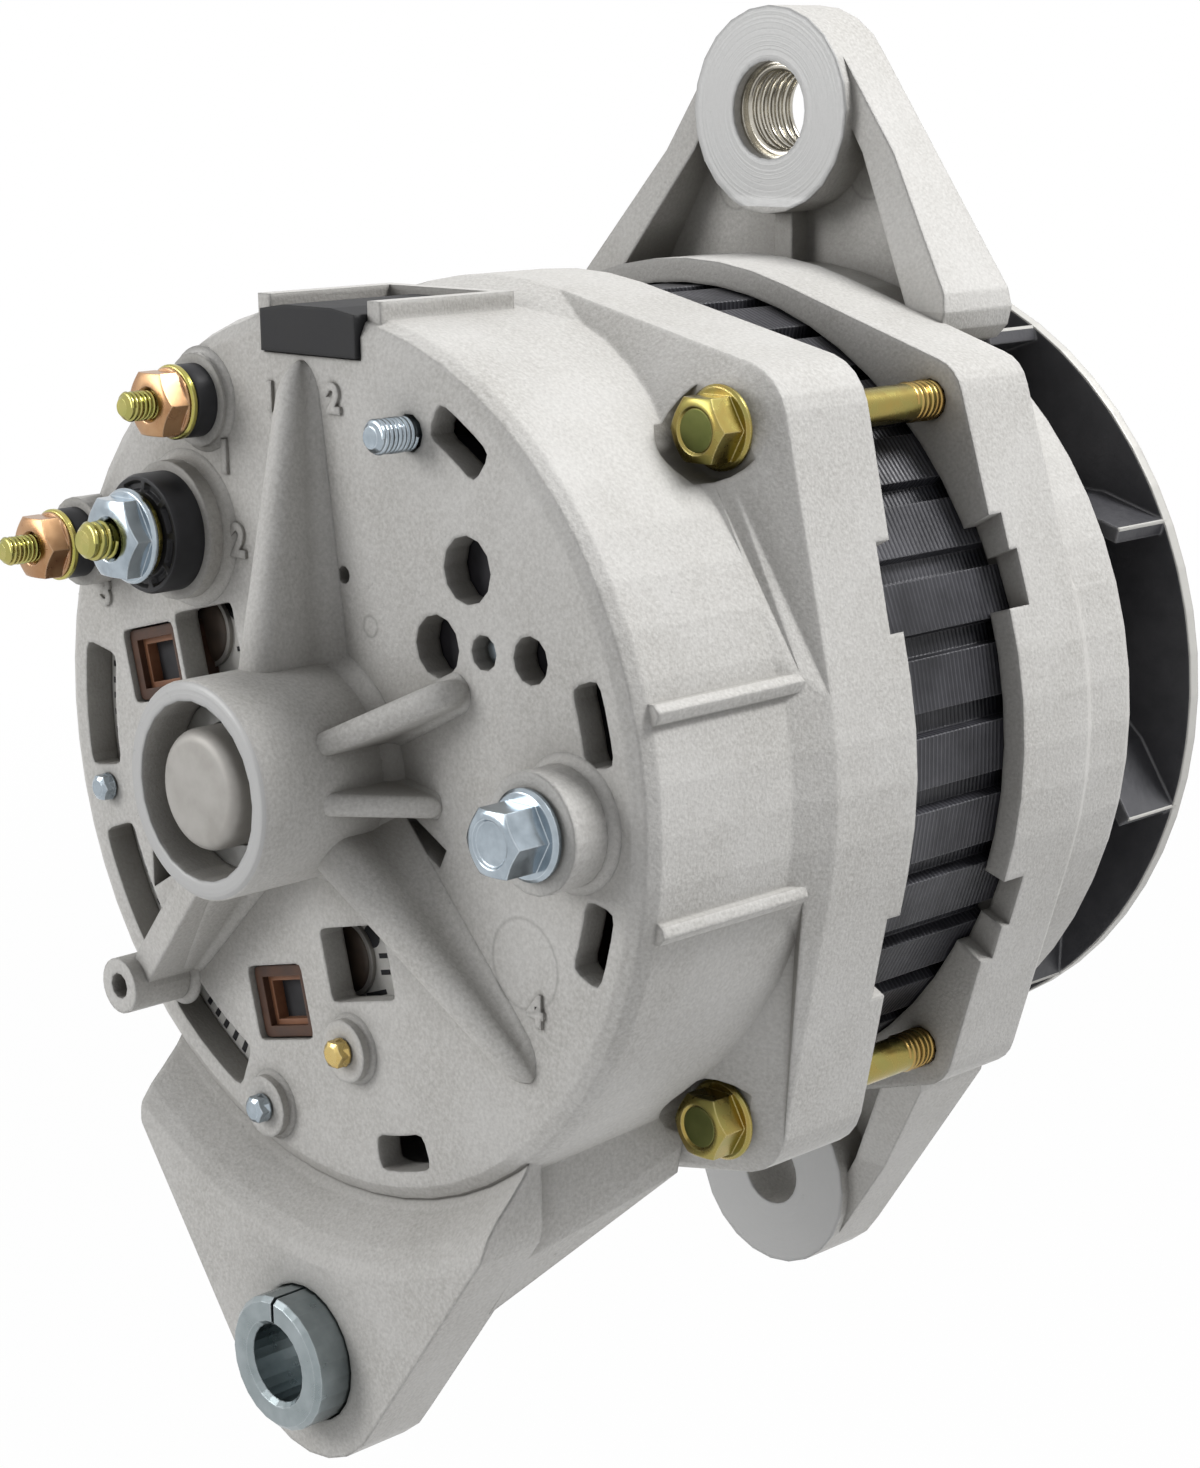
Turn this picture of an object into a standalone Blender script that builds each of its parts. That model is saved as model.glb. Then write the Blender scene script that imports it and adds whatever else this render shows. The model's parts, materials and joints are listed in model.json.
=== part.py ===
"""Heavy-duty hinge-mount alternator head, built as its real assembly of castings, stator, rotor and fittings.

All lengths are metres and +Z is up. The shaft runs along Y, with the slip-ring (rear) end towards -Y
and the fan towards +Y. Stations along the shaft are measured from the rear face of the rear casting.
The part's origin is on the hinge bolt's axis, halfway between the two hinge lugs.
"""
import math

import bmesh
import bpy
from mathutils import Matrix, Vector

# Clearances and cuts
GAP = 0.0003
ROOT = 0.0009
OVERRUN = 0.003
WELD = 0.000001
SMOOTH_ANGLE = math.radians(38)
FLAT_ANGLE = math.radians(0.2)

# Faces round a full turn, by how large and how near the eye a piece is
FINE_STEPS = 60
MID_STEPS = 24
WINDING_STEPS = 36
SMALL_STEPS = 12
TINY_STEPS = 10

# The stator's radius, which the castings, winding, rotor and rear face all follow
CORE_RADIUS = 0.0690

# Where the drive-end casting starts and how deep it is, which the ears, rotor and fan all follow
DRIVE_EDGE_STATION = 0.0805
DRIVE_FRAME_DEPTH = 0.0345
DRIVE_FACE_STATION = DRIVE_EDGE_STATION + DRIVE_FRAME_DEPTH

# Mounting geometry
HINGE_DROP = 0.0958
EAR_RISE = 0.0972
HINGE_BOLT_RADIUS = 0.0064
LUG_RADIUS = 0.0175
REAR_LUG_RADIUS = 0.0190
REAR_LUG_LIFT = 0.0015
REAR_LUG_BACK = 0.0080
REAR_LUG_FRONT = 0.0040
LUG_SETBACK = 0.0130
DRIVE_LUG_STATION = DRIVE_FACE_STATION - LUG_SETBACK
LUG_SPREAD = 0.0335
LUG_CORNER_RADIUS = 0.0060
EAR_DEPTH = 0.0130
EAR_SETBACK = 0.0140
EAR_STATION = DRIVE_FACE_STATION - EAR_SETBACK
EAR_WALL = 0.0045
EAR_FLOOR = 0.0050
EAR_SPREAD = 0.0370
EAR_RIB_THICK = 0.0040
EAR_BAR_SETBACK = 0.0020
EAR_FLARE = 0.0065
EAR_FLARE_DROP = 0.0070
EAR_HOLE_RADIUS = 0.0083

# Rear casting
DRUM_MARGIN = 0.0015
RIM_ROUND = 0.0030
DRUM_RADIUS = CORE_RADIUS + DRUM_MARGIN
FACE_RADIUS = DRUM_RADIUS - RIM_ROUND
DRUM_WALL = 0.0040
PLATE_THICK = 0.0045
INNER_ROUND = 0.0025
HUB_RADIUS = 0.0168
HUB_LENGTH = 0.0248
HUB_BORE_RADIUS = 0.0138
HUB_FLOOR = 0.0020
HUB_EDGE = 0.0006
SHAFT_PASSAGE_RADIUS = 0.0104
REAR_FRAME_DEPTH = 0.0550
BAND_MARGIN = 0.0025
BAND_RADIUS = DRUM_RADIUS + BAND_MARGIN
FAIRING_START = 0.0274
BAND_START = 0.0370
BAND_EDGE = 0.0008
REAR_NOTCH_DEPTH = 0.0030
NOTCH_ANGLES = (17.5, 28.0)
BOLT_STANDOFF = 0.0024
BOLT_REACH = (BAND_RADIUS + BOLT_STANDOFF) * math.sqrt(1 / 2)
LOBE_RADIUS = 0.0095
BOLT_SEAT = 0.0333
BOLT_POCKET_RADIUS = 0.0078
BOLT_POCKET_START = 0.0230
BOLT_POCKET_NOSE = 0.0040
BOLT_BULGE_RADIUS = 0.0108
BOLT_BULGE_END = 0.0365
SIDE_RIB_WIDTH = 0.0036
SIDE_RIB_HEIGHT = 0.0018
SIDE_RIB_END = 0.0330
SIDE_RIB_ANGLES = (14.3, -11.4, 165.7, 191.4)

# Gussets and bosses on the rear face: clock angle, rise at the hub, reach, rise at the reach, thickness
GUSSET_START = 0.0150
WEB_REACH_SHARES = {"top": 0.9422, "bar": 0.5481, "short": 0.4000, "ground": 0.9037, "corner": 0.8444}
TOP_WEB = (92.4, 0.0140, FACE_RADIUS * WEB_REACH_SHARES["top"], 0.0000, 0.0048)
BAR_WEB = (26.5, 0.0128, FACE_RADIUS * WEB_REACH_SHARES["bar"], 0.0000, 0.0030)
SHORT_WEB = (-5.0, 0.0150, FACE_RADIUS * WEB_REACH_SHARES["short"], 0.0000, 0.0030)
GROUND_WEB = (-41.0, 0.0100, FACE_RADIUS * WEB_REACH_SHARES["ground"], 0.0000, 0.0056)
CORNER_WEB = (226.0, 0.0140, FACE_RADIUS * WEB_REACH_SHARES["corner"], 0.0095, 0.0050)
CORNER_BOSS_SHARES = (-0.6104, -0.6296)
CORNER_BOSS_RADIUS = 0.0047
CORNER_BOSS_HEIGHT = 0.0122
CORNER_BOSS_HOLE = 0.0022
CORNER_BOSS_DEPTH = 0.0080
SCREW_BOSS_RADIUS = 0.0051
SCREW_BOSS_HEIGHT = 0.0020
GROUND_SHARES = (0.8178, 0.0030)
GROUND_BOSS_RADIUS = 0.0090
GROUND_BOSS_HEIGHT = 0.0076

# Openings in the rear face
WINDOW_START = 0.0010
RIM_LAND = 0.0025
RIM_SLOT_WIDTH = 0.0058
RIM_SLOT_OUTER = FACE_RADIUS - RIM_LAND
RIM_SLOT_INNER = RIM_SLOT_OUTER - RIM_SLOT_WIDTH
RIM_SLOT_HALF_ANGLE = 5.6
RIM_SLOT_ANGLES = (58.0, 14.2, -15.6, -75.0)
CRESCENT_LAND = 0.0030
CRESCENT_WIDTH = 0.0085
CRESCENT_OUTER = FACE_RADIUS - CRESCENT_LAND
CRESCENT_INNER = CRESCENT_OUTER - CRESCENT_WIDTH
CRESCENTS = ((170.0, 189.5), (199.5, 219.5), (228.0, 247.0))
ARC_STEPS = 5
SLOT_STEPS = 3
SLOT_CORNER = 0.0017
WINDOW_CORNER = 0.0012
SOCKET_WINDOW_HALF = (0.0072, 0.0062)
SOCKET_SHARES = ((-0.6593, 0.1452), (-0.2044, -0.6222))
WIDE_WINDOW_HALF = (0.0080, 0.0060)
WIDE_WINDOW_SHARES = ((-0.4296, 0.2222), (0.0919, -0.4622))
WINDOW_TURN = 14.0
ROUND_HOLE_RADII = (0.0051, 0.0048, 0.0036)
ROUND_HOLE_SHARES = ((0.5067, 0.5067), (0.4044, 0.3274), (0.7022, 0.3363))
PIN_HOLE_RADIUS = 0.0014
PIN_HOLE_SHARES = (0.0889, 0.4489)
DARK_SLOT_SHARES = (0.3378, -0.1156)
DARK_SLOT_TURN = -28.0
DARK_SLOT_HALF = (0.0052, 0.0017)
NOTCH_SHARES = (-0.6741, -0.3852)
NOTCH_RADIUS = 0.0036

# Rear lug arm, seen from the side
ARM_SPREAD = 0.0435
ARM_SHOULDER_DEPTH = 0.0050
ARM_ROOT_DEPTH = 0.0205
ARM_SHOULDER = DRUM_RADIUS - ARM_SHOULDER_DEPTH
ARM_ROOT = DRUM_RADIUS - ARM_ROOT_DEPTH
ARM_CORNER = 0.0050
ARM_SWEEP_RADII = (0.0670, 0.0800)
ARM_SWEEP_START = 0.0030
ARM_SWEEP_STEPS = 6
ARM_HEEL = ((0.0320, -0.0828), (0.0400, -0.0718))
ARM_TOE = ((0.0455, -0.0637), (0.0465, -0.0590))
ARM_TOE_STATION = 0.0310

# Rubber plug and its pocket
PLUG_HALF_WIDTH = 0.0113
PLUG_SETBACK = 0.0001
PLUG_DEEP = 0.0072
PLUG_TOP = DRUM_RADIUS - PLUG_SETBACK
PLUG_BOTTOM = PLUG_TOP - PLUG_DEEP
PLUG_START = 0.0008
PLUG_LENGTH = 0.0250
PLUG_CROWN = 0.0008
POCKET_WALL = 0.0030
POCKET_WALL_RISE = 0.0011
POCKET_WALL_TOP = DRUM_RADIUS + POCKET_WALL_RISE

# Stator
GROOVE_DEPTH = 0.0022
CORE_BACK = 0.0072
SLOT_DEPTH = 0.0108
CORE_GROOVE_RADIUS = CORE_RADIUS - GROOVE_DEPTH
CORE_SLOT_RADIUS = CORE_RADIUS - CORE_BACK
CORE_BORE_RADIUS = CORE_SLOT_RADIUS - SLOT_DEPTH
CORE_START = 0.0497
CORE_LENGTH = 0.0366
CORE_TEETH = 36
LAND_HALF_ANGLE = 3.4
GROOVE_HALF_ANGLE = 1.3
LAND_PHASE = 0.3
SLOT_HALF_WIDTH = 0.0022
WINDING_SETBACK = 0.0015
WINDING_MARGIN = 0.0005
WINDING_INNER = CORE_BORE_RADIUS + WINDING_SETBACK
WINDING_OUTER = CORE_SLOT_RADIUS - WINDING_MARGIN
WINDING_OVERHANG = 0.0125
WINDING_ROUND = 0.0026

# Drive-end casting
DRIVE_BAND_MARGIN = 0.0043
DRIVE_DRUM_INSET = 0.0018
DRIVE_BAND_RADIUS = CORE_RADIUS + DRIVE_BAND_MARGIN
DRIVE_DRUM_RADIUS = DRIVE_BAND_RADIUS - DRIVE_DRUM_INSET
LUG_ROOT_DEPTH = 0.0065
EAR_ROOT_DEPTH = 0.0081
LUG_SHOULDER_RISE = HINGE_DROP - DRIVE_BAND_RADIUS + LUG_ROOT_DEPTH
EAR_SHOULDER_DROP = EAR_RISE - DRIVE_BAND_RADIUS + EAR_ROOT_DEPTH
DRIVE_LOBE_RADIUS = 0.0066
DRIVE_BAND_LENGTH = 0.0165
DRIVE_SHOULDER = 0.0050
DRIVE_SHOULDER_IN = 0.0040
DRIVE_PLATE = 0.0050
DRIVE_HUB_RADIUS = 0.0290
DRIVE_HUB_PROUD = 0.0020
DRIVE_NOTCH_STEPS = ((17.5, 24.5, 0.0049), (24.0, 29.0, 0.0030))
DRIVE_VENT_INNER = 0.0350
DRIVE_VENT_LAND = 0.0145
DRIVE_VENT_OUTER = DRIVE_DRUM_RADIUS - DRIVE_VENT_LAND
DRIVE_VENT_COUNT = 8
DRIVE_VENT_HALF_ANGLE = 15.0
THREAD_DEPTH = 0.0170

# Bearings
FRONT_BEARING_RADIUS = 0.0235
FRONT_BEARING_WIDTH = 0.0140
BALL_RING_RADIUS = 0.0160
BALL_RADIUS = 0.0040
BALL_COUNT = 7
RACE_THICK = 0.0042
RACE_GROOVE = 0.0020
CAGE_HALF_THICK = 0.0010
CAGE_HALF_WIDTH = 0.0028
RETAINER_RADIUS = 0.0330
RETAINER_BORE = 0.0190
RETAINER_THICK = 0.0020
RETAINER_SCREW_RING = 0.0275
RETAINER_SCREW_ANGLES = (90.0, 210.0, 330.0)
REAR_BEARING_BORE = 0.0097
REAR_BEARING_WIDTH = 0.0150

# Rotor
SHAFT_TAIL_RADIUS = 0.0093
SHAFT_TAIL_EDGE = 0.0018
SHAFT_TAIL_END = 0.0030
SHAFT_RADIUS = 0.0085
ROTOR_JOURNAL_RADIUS = 0.0100
SEAT_RADIUS = 0.0084
SHAFT_THREAD_RADIUS = 0.0078
SHAFT_NOSE = 0.0510
SHAFT_FRONT = DRIVE_FACE_STATION + SHAFT_NOSE
SHAFT_END_EDGE = 0.0012
AIR_GAP = 0.0006
POLE_RADIUS = CORE_BORE_RADIUS - AIR_GAP
POLE_START = 0.0460
POLE_SETBACK = 0.0250
POLE_LENGTH = DRIVE_FACE_STATION - POLE_SETBACK - POLE_START
POLE_DISC = 0.0115
POLE_DISC_INSET = 0.0084
POLE_DISC_RADIUS = POLE_RADIUS - POLE_DISC_INSET
POLE_HUB_SHARE = 0.3571
POLE_HUB_RADIUS = POLE_DISC_RADIUS * POLE_HUB_SHARE
POLE_COUNT = 7
CLAW_DEPTH = 0.0080
CLAW_ROOT_ANGLE = 11.0
CLAW_TIP_ANGLE = 5.5
CLAW_TIP_THIN = 0.0040
COIL_INSET = 0.0020
COIL_OUTER = POLE_DISC_RADIUS - COIL_INSET
COIL_FLANGE = 0.0012
RING_RADIUS = 0.0155
RING_WIDTH = 0.0055
RING_STATIONS = (0.0132, 0.0216)
SLEEVE_RADIUS = 0.0112
SLEEVE_START = 0.0070
SLEEVE_END = 0.0270

# Brush gear
BRUSH_HALF = 0.0022
BRUSH_LENGTH = 0.0120
BRUSH_TRAVEL = 0.0060
HOLDER_HALF_WIDTH = 0.0080
HOLDER_BOTTOM = 0.0180
HOLDER_TOP_SHARE = 0.6963
HOLDER_TOP = FACE_RADIUS * HOLDER_TOP_SHARE
HOLDER_END = 0.0270
HOLDER_CAP = 0.0020
SPRING_RADIUS = 0.0016
SPRING_WIRE = 0.0004
SPRING_TURNS = 6
SPRING_STEPS = 8

# Rectifier, regulator and capacitor
SHELF_INNER = 0.0240
SHELF_CLEARANCE = 0.0085
SHELF_OUTER = DRUM_RADIUS - DRUM_WALL - SHELF_CLEARANCE
RECTIFIER_ANGLES = (-4.0, 67.0)
RECTIFIER_THICK = 0.0050
DIODE_RADIUS = 0.0058
DIODE_HEIGHT = 0.0070
DIODE_RING = (SHELF_INNER + SHELF_OUTER) / 2
DIODE_ANGLES = (10.0, 34.0, 58.0)
REGULATOR_ANGLES = (151.0, 284.0)
REGULATOR_START = 0.0080
REGULATOR_THICK = 0.0070
REGULATOR_FOOT_RADIUS = 0.0030
REGULATOR_FOOT_SHARES = ((0.9310, 156.5), (0.8621, 222.0), (0.5172, 205.0), (0.8621, 278.0))
TRIO_ANGLES = (186.0, 226.0)
TRIO_INNER = 0.0340
TRIO_THICK = 0.0030
SOCKET_PROUD = 0.0010
SOCKET_WALL = 0.0018
CAPACITOR_SHARES = (0.5481, -0.4444)
CAPACITOR_RADIUS = 0.0082
CAPACITOR_LENGTH = 0.0230
CAPACITOR_EDGE = 0.0010

# Terminals: shares of the rear face's radius across and up, then radius and height of each layer
BATTERY_SHARES = (-0.4889, 0.4963)
BATTERY_BOSS = (0.0112, 0.0040)
BATTERY_INSULATOR = (0.0096, 0.0050)
BATTERY_STUD = (0.0039, 0.0205)
BATTERY_NUT = (0.0130, 0.0065, 0.0068, 0.0016)
INDICATOR_SHARES = (-0.4119, 0.8074)
RELAY_SHARES = (-0.8681, 0.4296)
SIGNAL_BOSS = (0.0074, 0.0015)
RIM_BOSS_END = 0.0130
SIGNAL_INSULATOR = (0.0058, 0.0030)
SIGNAL_STUD = (0.0023, 0.0155)
RELAY_BOSS = (0.0074, 0.0042)
RELAY_STUD = (0.0023, 0.0190)
SIGNAL_NUT = (0.0098, 0.0046, 0.0057, 0.0012)
STUD_EDGE = 0.0008
STUD_FOOT = 0.0020
COLLAR_MARGIN = 0.0016
NUT_CHAMFER = 0.0010

# Screws: radius, head across flats, head height, flange radius, flange height
GROUND_SCREW = (0.0030, 0.0095, 0.0060, 0.0066, 0.0016)
GROUND_SCREW_LENGTH = 0.0100
THROUGH_BOLT = (0.0030, 0.0095, 0.0042, 0.0062, 0.0013)
THROUGH_BOLT_LENGTH = 0.0600
COVER_STUD_SHARES = (0.3289, 0.7867)
COVER_STUD = (0.0026, 0.0075)
SMALL_SCREW = (0.0016, 0.0040, 0.0018, 0.0024, 0.0005)
SMALL_SCREW_LENGTH = 0.0036
SCREW_SHARES = {
    "regulator_screw_left": (-0.8741, -0.2015, 0),
    "regulator_screw_lower": (-0.2444, -0.8889, 1),
    "brass_contact_screw": (0.0667, -0.6741, 1),
}
SUNK_SCREW_SHARES = (0.5556, 0.3333)

# Bushing, insert, fan and nut
BUSHING_RADIUS = 0.0111
BUSHING_PROUD = 0.0065
BUSHING_SLIT = 0.0008
BUSHING_EDGE = 0.0008
INSERT_RADIUS = 0.0080
INSERT_BORE = 0.0062
INSERT_SETBACK = 0.0008
INSERT_EDGE = 0.0007
FAN_RADIUS = 0.0700
FAN_STANDOFF = 0.0150
FAN_STATION = DRIVE_FACE_STATION + FAN_STANDOFF
FAN_THICK = 0.0022
FAN_HUB_RADIUS = 0.0170
FAN_HUB_BACK = 0.0040
FAN_DISH_RADIUS = 0.0300
FAN_BORE = 0.0088
BLADE_HEIGHT = 0.0125
BLADE_THICK = 0.0026
BLADE_RADIUS_SHARES = (0.9886, 0.8571, 0.7286, 0.6143)
BLADE_SWEEP = (0.0, 8.0, 15.0, 20.0)
BLADE_TURN_SHARES = (0.067, 0.164, 0.262, 0.365, 0.461, 0.560, 0.662, 0.757, 0.856, 0.953)
SPACER_RADIUS = 0.0130
WASHER_RADIUS = 0.0150
WASHER_THICK = 0.0025
SHAFT_NUT = (0.0240, 0.0125)

# Colours, roughness and metallic value of each finish
FINISHES = {
    "cast_aluminium": ((0.50, 0.49, 0.47), 0.55, 0.65),
    "stator_black": ((0.022, 0.022, 0.026), 0.45, 0.2),
    "copper_winding": ((0.40, 0.15, 0.07), 0.4, 0.6),
    "machined_steel": ((0.50, 0.50, 0.51), 0.3, 1.0),
    "pole_black": ((0.045, 0.045, 0.050), 0.5, 0.5),
    "yellow_zinc": ((0.62, 0.47, 0.13), 0.3, 1.0),
    "white_zinc": ((0.60, 0.64, 0.68), 0.25, 1.0),
    "brass": ((0.60, 0.42, 0.18), 0.3, 1.0),
    "black_plastic": ((0.02, 0.02, 0.022), 0.5, 0.0),
    "brown_plastic": ((0.13, 0.055, 0.03), 0.5, 0.0),
    "black_rubber": ((0.018, 0.018, 0.02), 0.8, 0.0),
    "carbon": ((0.03, 0.03, 0.03), 0.6, 0.1),
    "fan_black": ((0.03, 0.031, 0.035), 0.4, 0.3),
}


def clear_scene():
    """Remove whatever the open file holds."""
    for item in list(bpy.data.objects):
        bpy.data.objects.remove(item, do_unlink=True)


def make_finish(name):
    """One Principled material for a piece, in the colour of its finish."""
    colour, roughness, metallic = FINISHES[name]
    material = bpy.data.materials.new(name)
    material.use_nodes = True
    shader = material.node_tree.nodes["Principled BSDF"]
    shader.inputs["Base Color"].default_value = (*colour, 1.0)
    shader.inputs["Roughness"].default_value = roughness
    shader.inputs["Metallic"].default_value = metallic
    material.diffuse_color = (*colour, 1.0)
    return material


def shaft_line():
    """The empty that carries the whole head, on the shaft at the rear face."""
    empty = bpy.data.objects.new("shaft_line", None)
    middle = (REAR_LUG_FRONT + DRIVE_LUG_STATION) / 2
    empty.location = (0, -middle, HINGE_DROP)
    bpy.context.collection.objects.link(empty)
    return empty


def polar(radius, degrees):
    """The (x, z) place at a radius and clock angle, counted from +X towards +Z."""
    angle = math.radians(degrees)
    return radius * math.cos(angle), radius * math.sin(angle)


def on_face(shares):
    """The (x, z) place of a pair of shares of the rear face's radius."""
    return FACE_RADIUS * shares[0], FACE_RADIUS * shares[1]


def circle(radius, steps, centre=(0, 0)):
    """Points of a circle in the XZ plane."""
    places = [polar(radius, 360 * step / steps) for step in range(steps)]
    return [(centre[0] + x, centre[1] + z) for x, z in places]


def hull(points):
    """The convex outline round a set of (x, z) points."""
    ordered = sorted(set(points))

    def half(side):
        chain = []
        for point in side:
            while len(chain) > 1 and turn(chain[-2], chain[-1], point) <= 0:
                chain.pop()
            chain.append(point)
        return chain[:-1]

    return half(ordered) + half(ordered[::-1])


def turn(first, second, third):
    """Positive where three points turn to the left."""
    ahead = (second[0] - first[0]) * (third[1] - first[1])
    return ahead - (second[1] - first[1]) * (third[0] - first[0])


def eased(outline, corners, radius):
    """An outline with its numbered corners rounded off."""
    points = []
    for number, point in enumerate(outline):
        if number not in corners:
            points.append(point)
            continue
        ends = []
        for other in (outline[number - 1], outline[(number + 1) % len(outline)]):
            share = radius / math.hypot(other[0] - point[0], other[1] - point[1])
            ends.append((point[0] + (other[0] - point[0]) * share, point[1] + (other[1] - point[1]) * share))
        first, last = ends
        middle = ((first[0] + 2 * point[0] + last[0]) / 4, (first[1] + 2 * point[1] + last[1]) / 4)
        points += [first, middle, last]
    return points


def sector(inner, outer, start, end, steps=ARC_STEPS):
    """Outline of a slot or shelf that follows the rim between two clock angles."""
    angles = [start + (end - start) * step / steps for step in range(steps + 1)]
    return [polar(outer, a) for a in angles] + [polar(inner, a) for a in angles[::-1]]


def rectangle(half_width, half_height, place=(0, 0), degrees=0.0):
    """A turned rectangle in the XZ plane."""
    angle = math.radians(degrees)
    corners = [(-half_width, -half_height), (half_width, -half_height),
               (half_width, half_height), (-half_width, half_height)]
    return [(place[0] + x * math.cos(angle) - z * math.sin(angle),
             place[1] + x * math.sin(angle) + z * math.cos(angle)) for x, z in corners]


def hexagon(across_flats):
    """A hexagon by its size across the flats."""
    return circle(across_flats / math.sqrt(3), 6)


def extruded(points, offset):
    """A closed solid from a flat loop of points and the offset that carries it."""
    bm = bmesh.new()
    face = bm.faces.new([bm.verts.new(point) for point in points])
    grown = bmesh.ops.extrude_face_region(bm, geom=[face])
    moved = [item for item in grown["geom"] if isinstance(item, bmesh.types.BMVert)]
    bmesh.ops.translate(bm, verts=moved, vec=offset)
    bmesh.ops.recalc_face_normals(bm, faces=bm.faces)
    return bm


def prism(outline, start, end):
    """An outline in the XZ plane, carried along the shaft between two stations."""
    return extruded([(x, start, z) for x, z in outline], (0, end - start, 0))


def side_prism(outline, half_width):
    """An outline in the YZ plane, as wide as both half widths across X."""
    return extruded([(-half_width, y, z) for y, z in outline], (2 * half_width, 0, 0))


def turned(profile, steps):
    """A profile of (radius, station) points turned round the shaft's line."""
    bm = bmesh.new()
    verts = [bm.verts.new((radius, station, 0)) for radius, station in profile]
    pairs = list(zip(verts, verts[1:]))
    if profile[0][0] > 0 or profile[-1][0] > 0:
        pairs.append((verts[-1], verts[0]))
    edges = [bm.edges.new(pair) for pair in pairs]
    bmesh.ops.spin(bm, geom=verts + edges, cent=(0, 0, 0), axis=(0, 1, 0),
                   angle=math.tau, steps=steps, use_merge=True)
    bmesh.ops.remove_doubles(bm, verts=bm.verts, dist=WELD)
    bmesh.ops.recalc_face_normals(bm, faces=bm.faces)
    return bm


def rod(radius, start, end, steps, edge=0.0):
    """A plain round bar along Y, with its far edges eased where an edge is given."""
    if edge == 0.0:
        return prism(circle(radius, steps), start, end)
    return turned([(0, start), (radius - edge, start), (radius, start + edge),
                   (radius, end - edge), (radius - edge, end), (0, end)], steps)


def tube(inner, outer, start, end, steps):
    """A plain ring along Y."""
    return turned([(inner, start), (outer, start), (outer, end), (inner, end)], steps)


def loft(loops):
    """A closed solid through loops that have the same number of points."""
    bm = bmesh.new()
    rings = [[bm.verts.new(point) for point in loop] for loop in loops]
    for lower, upper in zip(rings, rings[1:]):
        for index in range(len(lower)):
            after = (index + 1) % len(lower)
            bm.faces.new((lower[index], lower[after], upper[after], upper[index]))
    bm.faces.new(rings[0][::-1])
    bm.faces.new(rings[-1])
    bmesh.ops.recalc_face_normals(bm, faces=bm.faces)
    return bm


def moved(bm, place, degrees=0.0):
    """Turn a shape about the shaft's direction, then carry it to an (x, z) place."""
    if degrees:
        spin = Matrix.Rotation(math.radians(-degrees), 3, "Y")
        bmesh.ops.rotate(bm, verts=bm.verts, cent=(0, 0, 0), matrix=spin)
    bmesh.ops.translate(bm, verts=bm.verts, vec=(place[0], 0, place[1]))
    return bm


def solid(name, bm, finish=None, place=(0, 0, 0)):
    """Make an object of a shape, with its origin at its place on the shaft's empty."""
    mesh = bpy.data.meshes.new(name)
    bm.to_mesh(mesh)
    bm.free()
    item = bpy.data.objects.new(name, mesh)
    bpy.context.collection.objects.link(item)
    item.location = place
    if finish:
        mesh.materials.append(make_finish(finish))
    return item


def weld(mesh):
    """Close the hair-thin edges that a cut can leave."""
    bm = bmesh.new()
    bm.from_mesh(mesh)
    bmesh.ops.remove_doubles(bm, verts=bm.verts, dist=WELD)
    bmesh.ops.dissolve_degenerate(bm, dist=WELD, edges=bm.edges)
    bm.to_mesh(mesh)
    bm.free()


def boolean(target, shape, operation):
    """Join, cut or intersect a shape with an object and keep the result as its mesh."""
    tool = solid("tool", shape)
    tool.location = target.location
    modifier = target.modifiers.new(operation.lower(), "BOOLEAN")
    modifier.operation = operation
    modifier.object = tool
    bpy.context.view_layer.update()
    graph = bpy.context.evaluated_depsgraph_get()
    mesh = bpy.data.meshes.new_from_object(target.evaluated_get(graph))
    weld(mesh)
    target.modifiers.clear()
    old = target.data
    target.data = mesh
    bpy.data.meshes.remove(old)
    spare = tool.data
    bpy.data.objects.remove(tool, do_unlink=True)
    bpy.data.meshes.remove(spare)
    mesh.name = target.name


def add(target, shape):
    """Unite a shape with an object."""
    boolean(target, shape, "UNION")


def cut(target, shape):
    """Take a shape out of an object."""
    boolean(target, shape, "DIFFERENCE")


def tidy(item):
    """Drop the points and edges that lie flat inside a face."""
    bm = bmesh.new()
    bm.from_mesh(item.data)
    bmesh.ops.dissolve_limit(bm, angle_limit=FLAT_ANGLE, verts=bm.verts, edges=bm.edges)
    bm.to_mesh(item.data)
    bm.free()


def finish_shading(item):
    """Shade round faces smooth and keep the edges crisp."""
    item.data.shade_smooth()
    item.data.set_sharp_from_angle(angle=SMOOTH_ANGLE)


def bolt_places():
    """The four through-bolts, square round the shaft."""
    return [(sx * BOLT_REACH, sz * BOLT_REACH) for sx in (1, -1) for sz in (1, -1)]


def band_outline(radius, lobe):
    """A band round the stator with a lobe at each through-bolt."""
    points = circle(radius, FINE_STEPS)
    for place in bolt_places():
        points += circle(lobe, MID_STEPS, place)
    return hull(points)


def notch_angles(first, last):
    """The pairs of clock angles of the four notches, two on each side of the head."""
    pairs = []
    for middle in (0, 180):
        pairs += [(middle + first, middle + last), (middle - last, middle - first)]
    return pairs


def scaled_to(outline, radius):
    """The same number of points, each drawn in to one radius."""
    return [(x * radius / math.hypot(x, z), z * radius / math.hypot(x, z)) for x, z in outline]


def gusset(angle, rise, reach, end_rise, thick):
    """A web from the hub out along the rear face."""
    profile = [(ROOT, GUSSET_START), (ROOT, reach), (-end_rise, reach), (-rise, GUSSET_START)]
    if end_rise == 0:
        profile = [(ROOT, GUSSET_START), (ROOT, reach), (-rise, GUSSET_START)]
    return moved(side_prism(profile, thick / 2), (0, 0), angle - 90)


def side_rib(angle):
    """A half-round rib along the drum's side."""
    centre = DRUM_RADIUS - ROOT
    crest = DRUM_RADIUS + SIDE_RIB_HEIGHT
    half = SIDE_RIB_WIDTH / 2
    outline = [(-half, centre), (half, centre), (half * math.cos(math.radians(40)), crest - half / 2),
               (0, crest), (-half * math.cos(math.radians(40)), crest - half / 2)]
    return moved(prism(outline, RIM_ROUND, SIDE_RIB_END), (0, 0), angle - 90)


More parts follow.
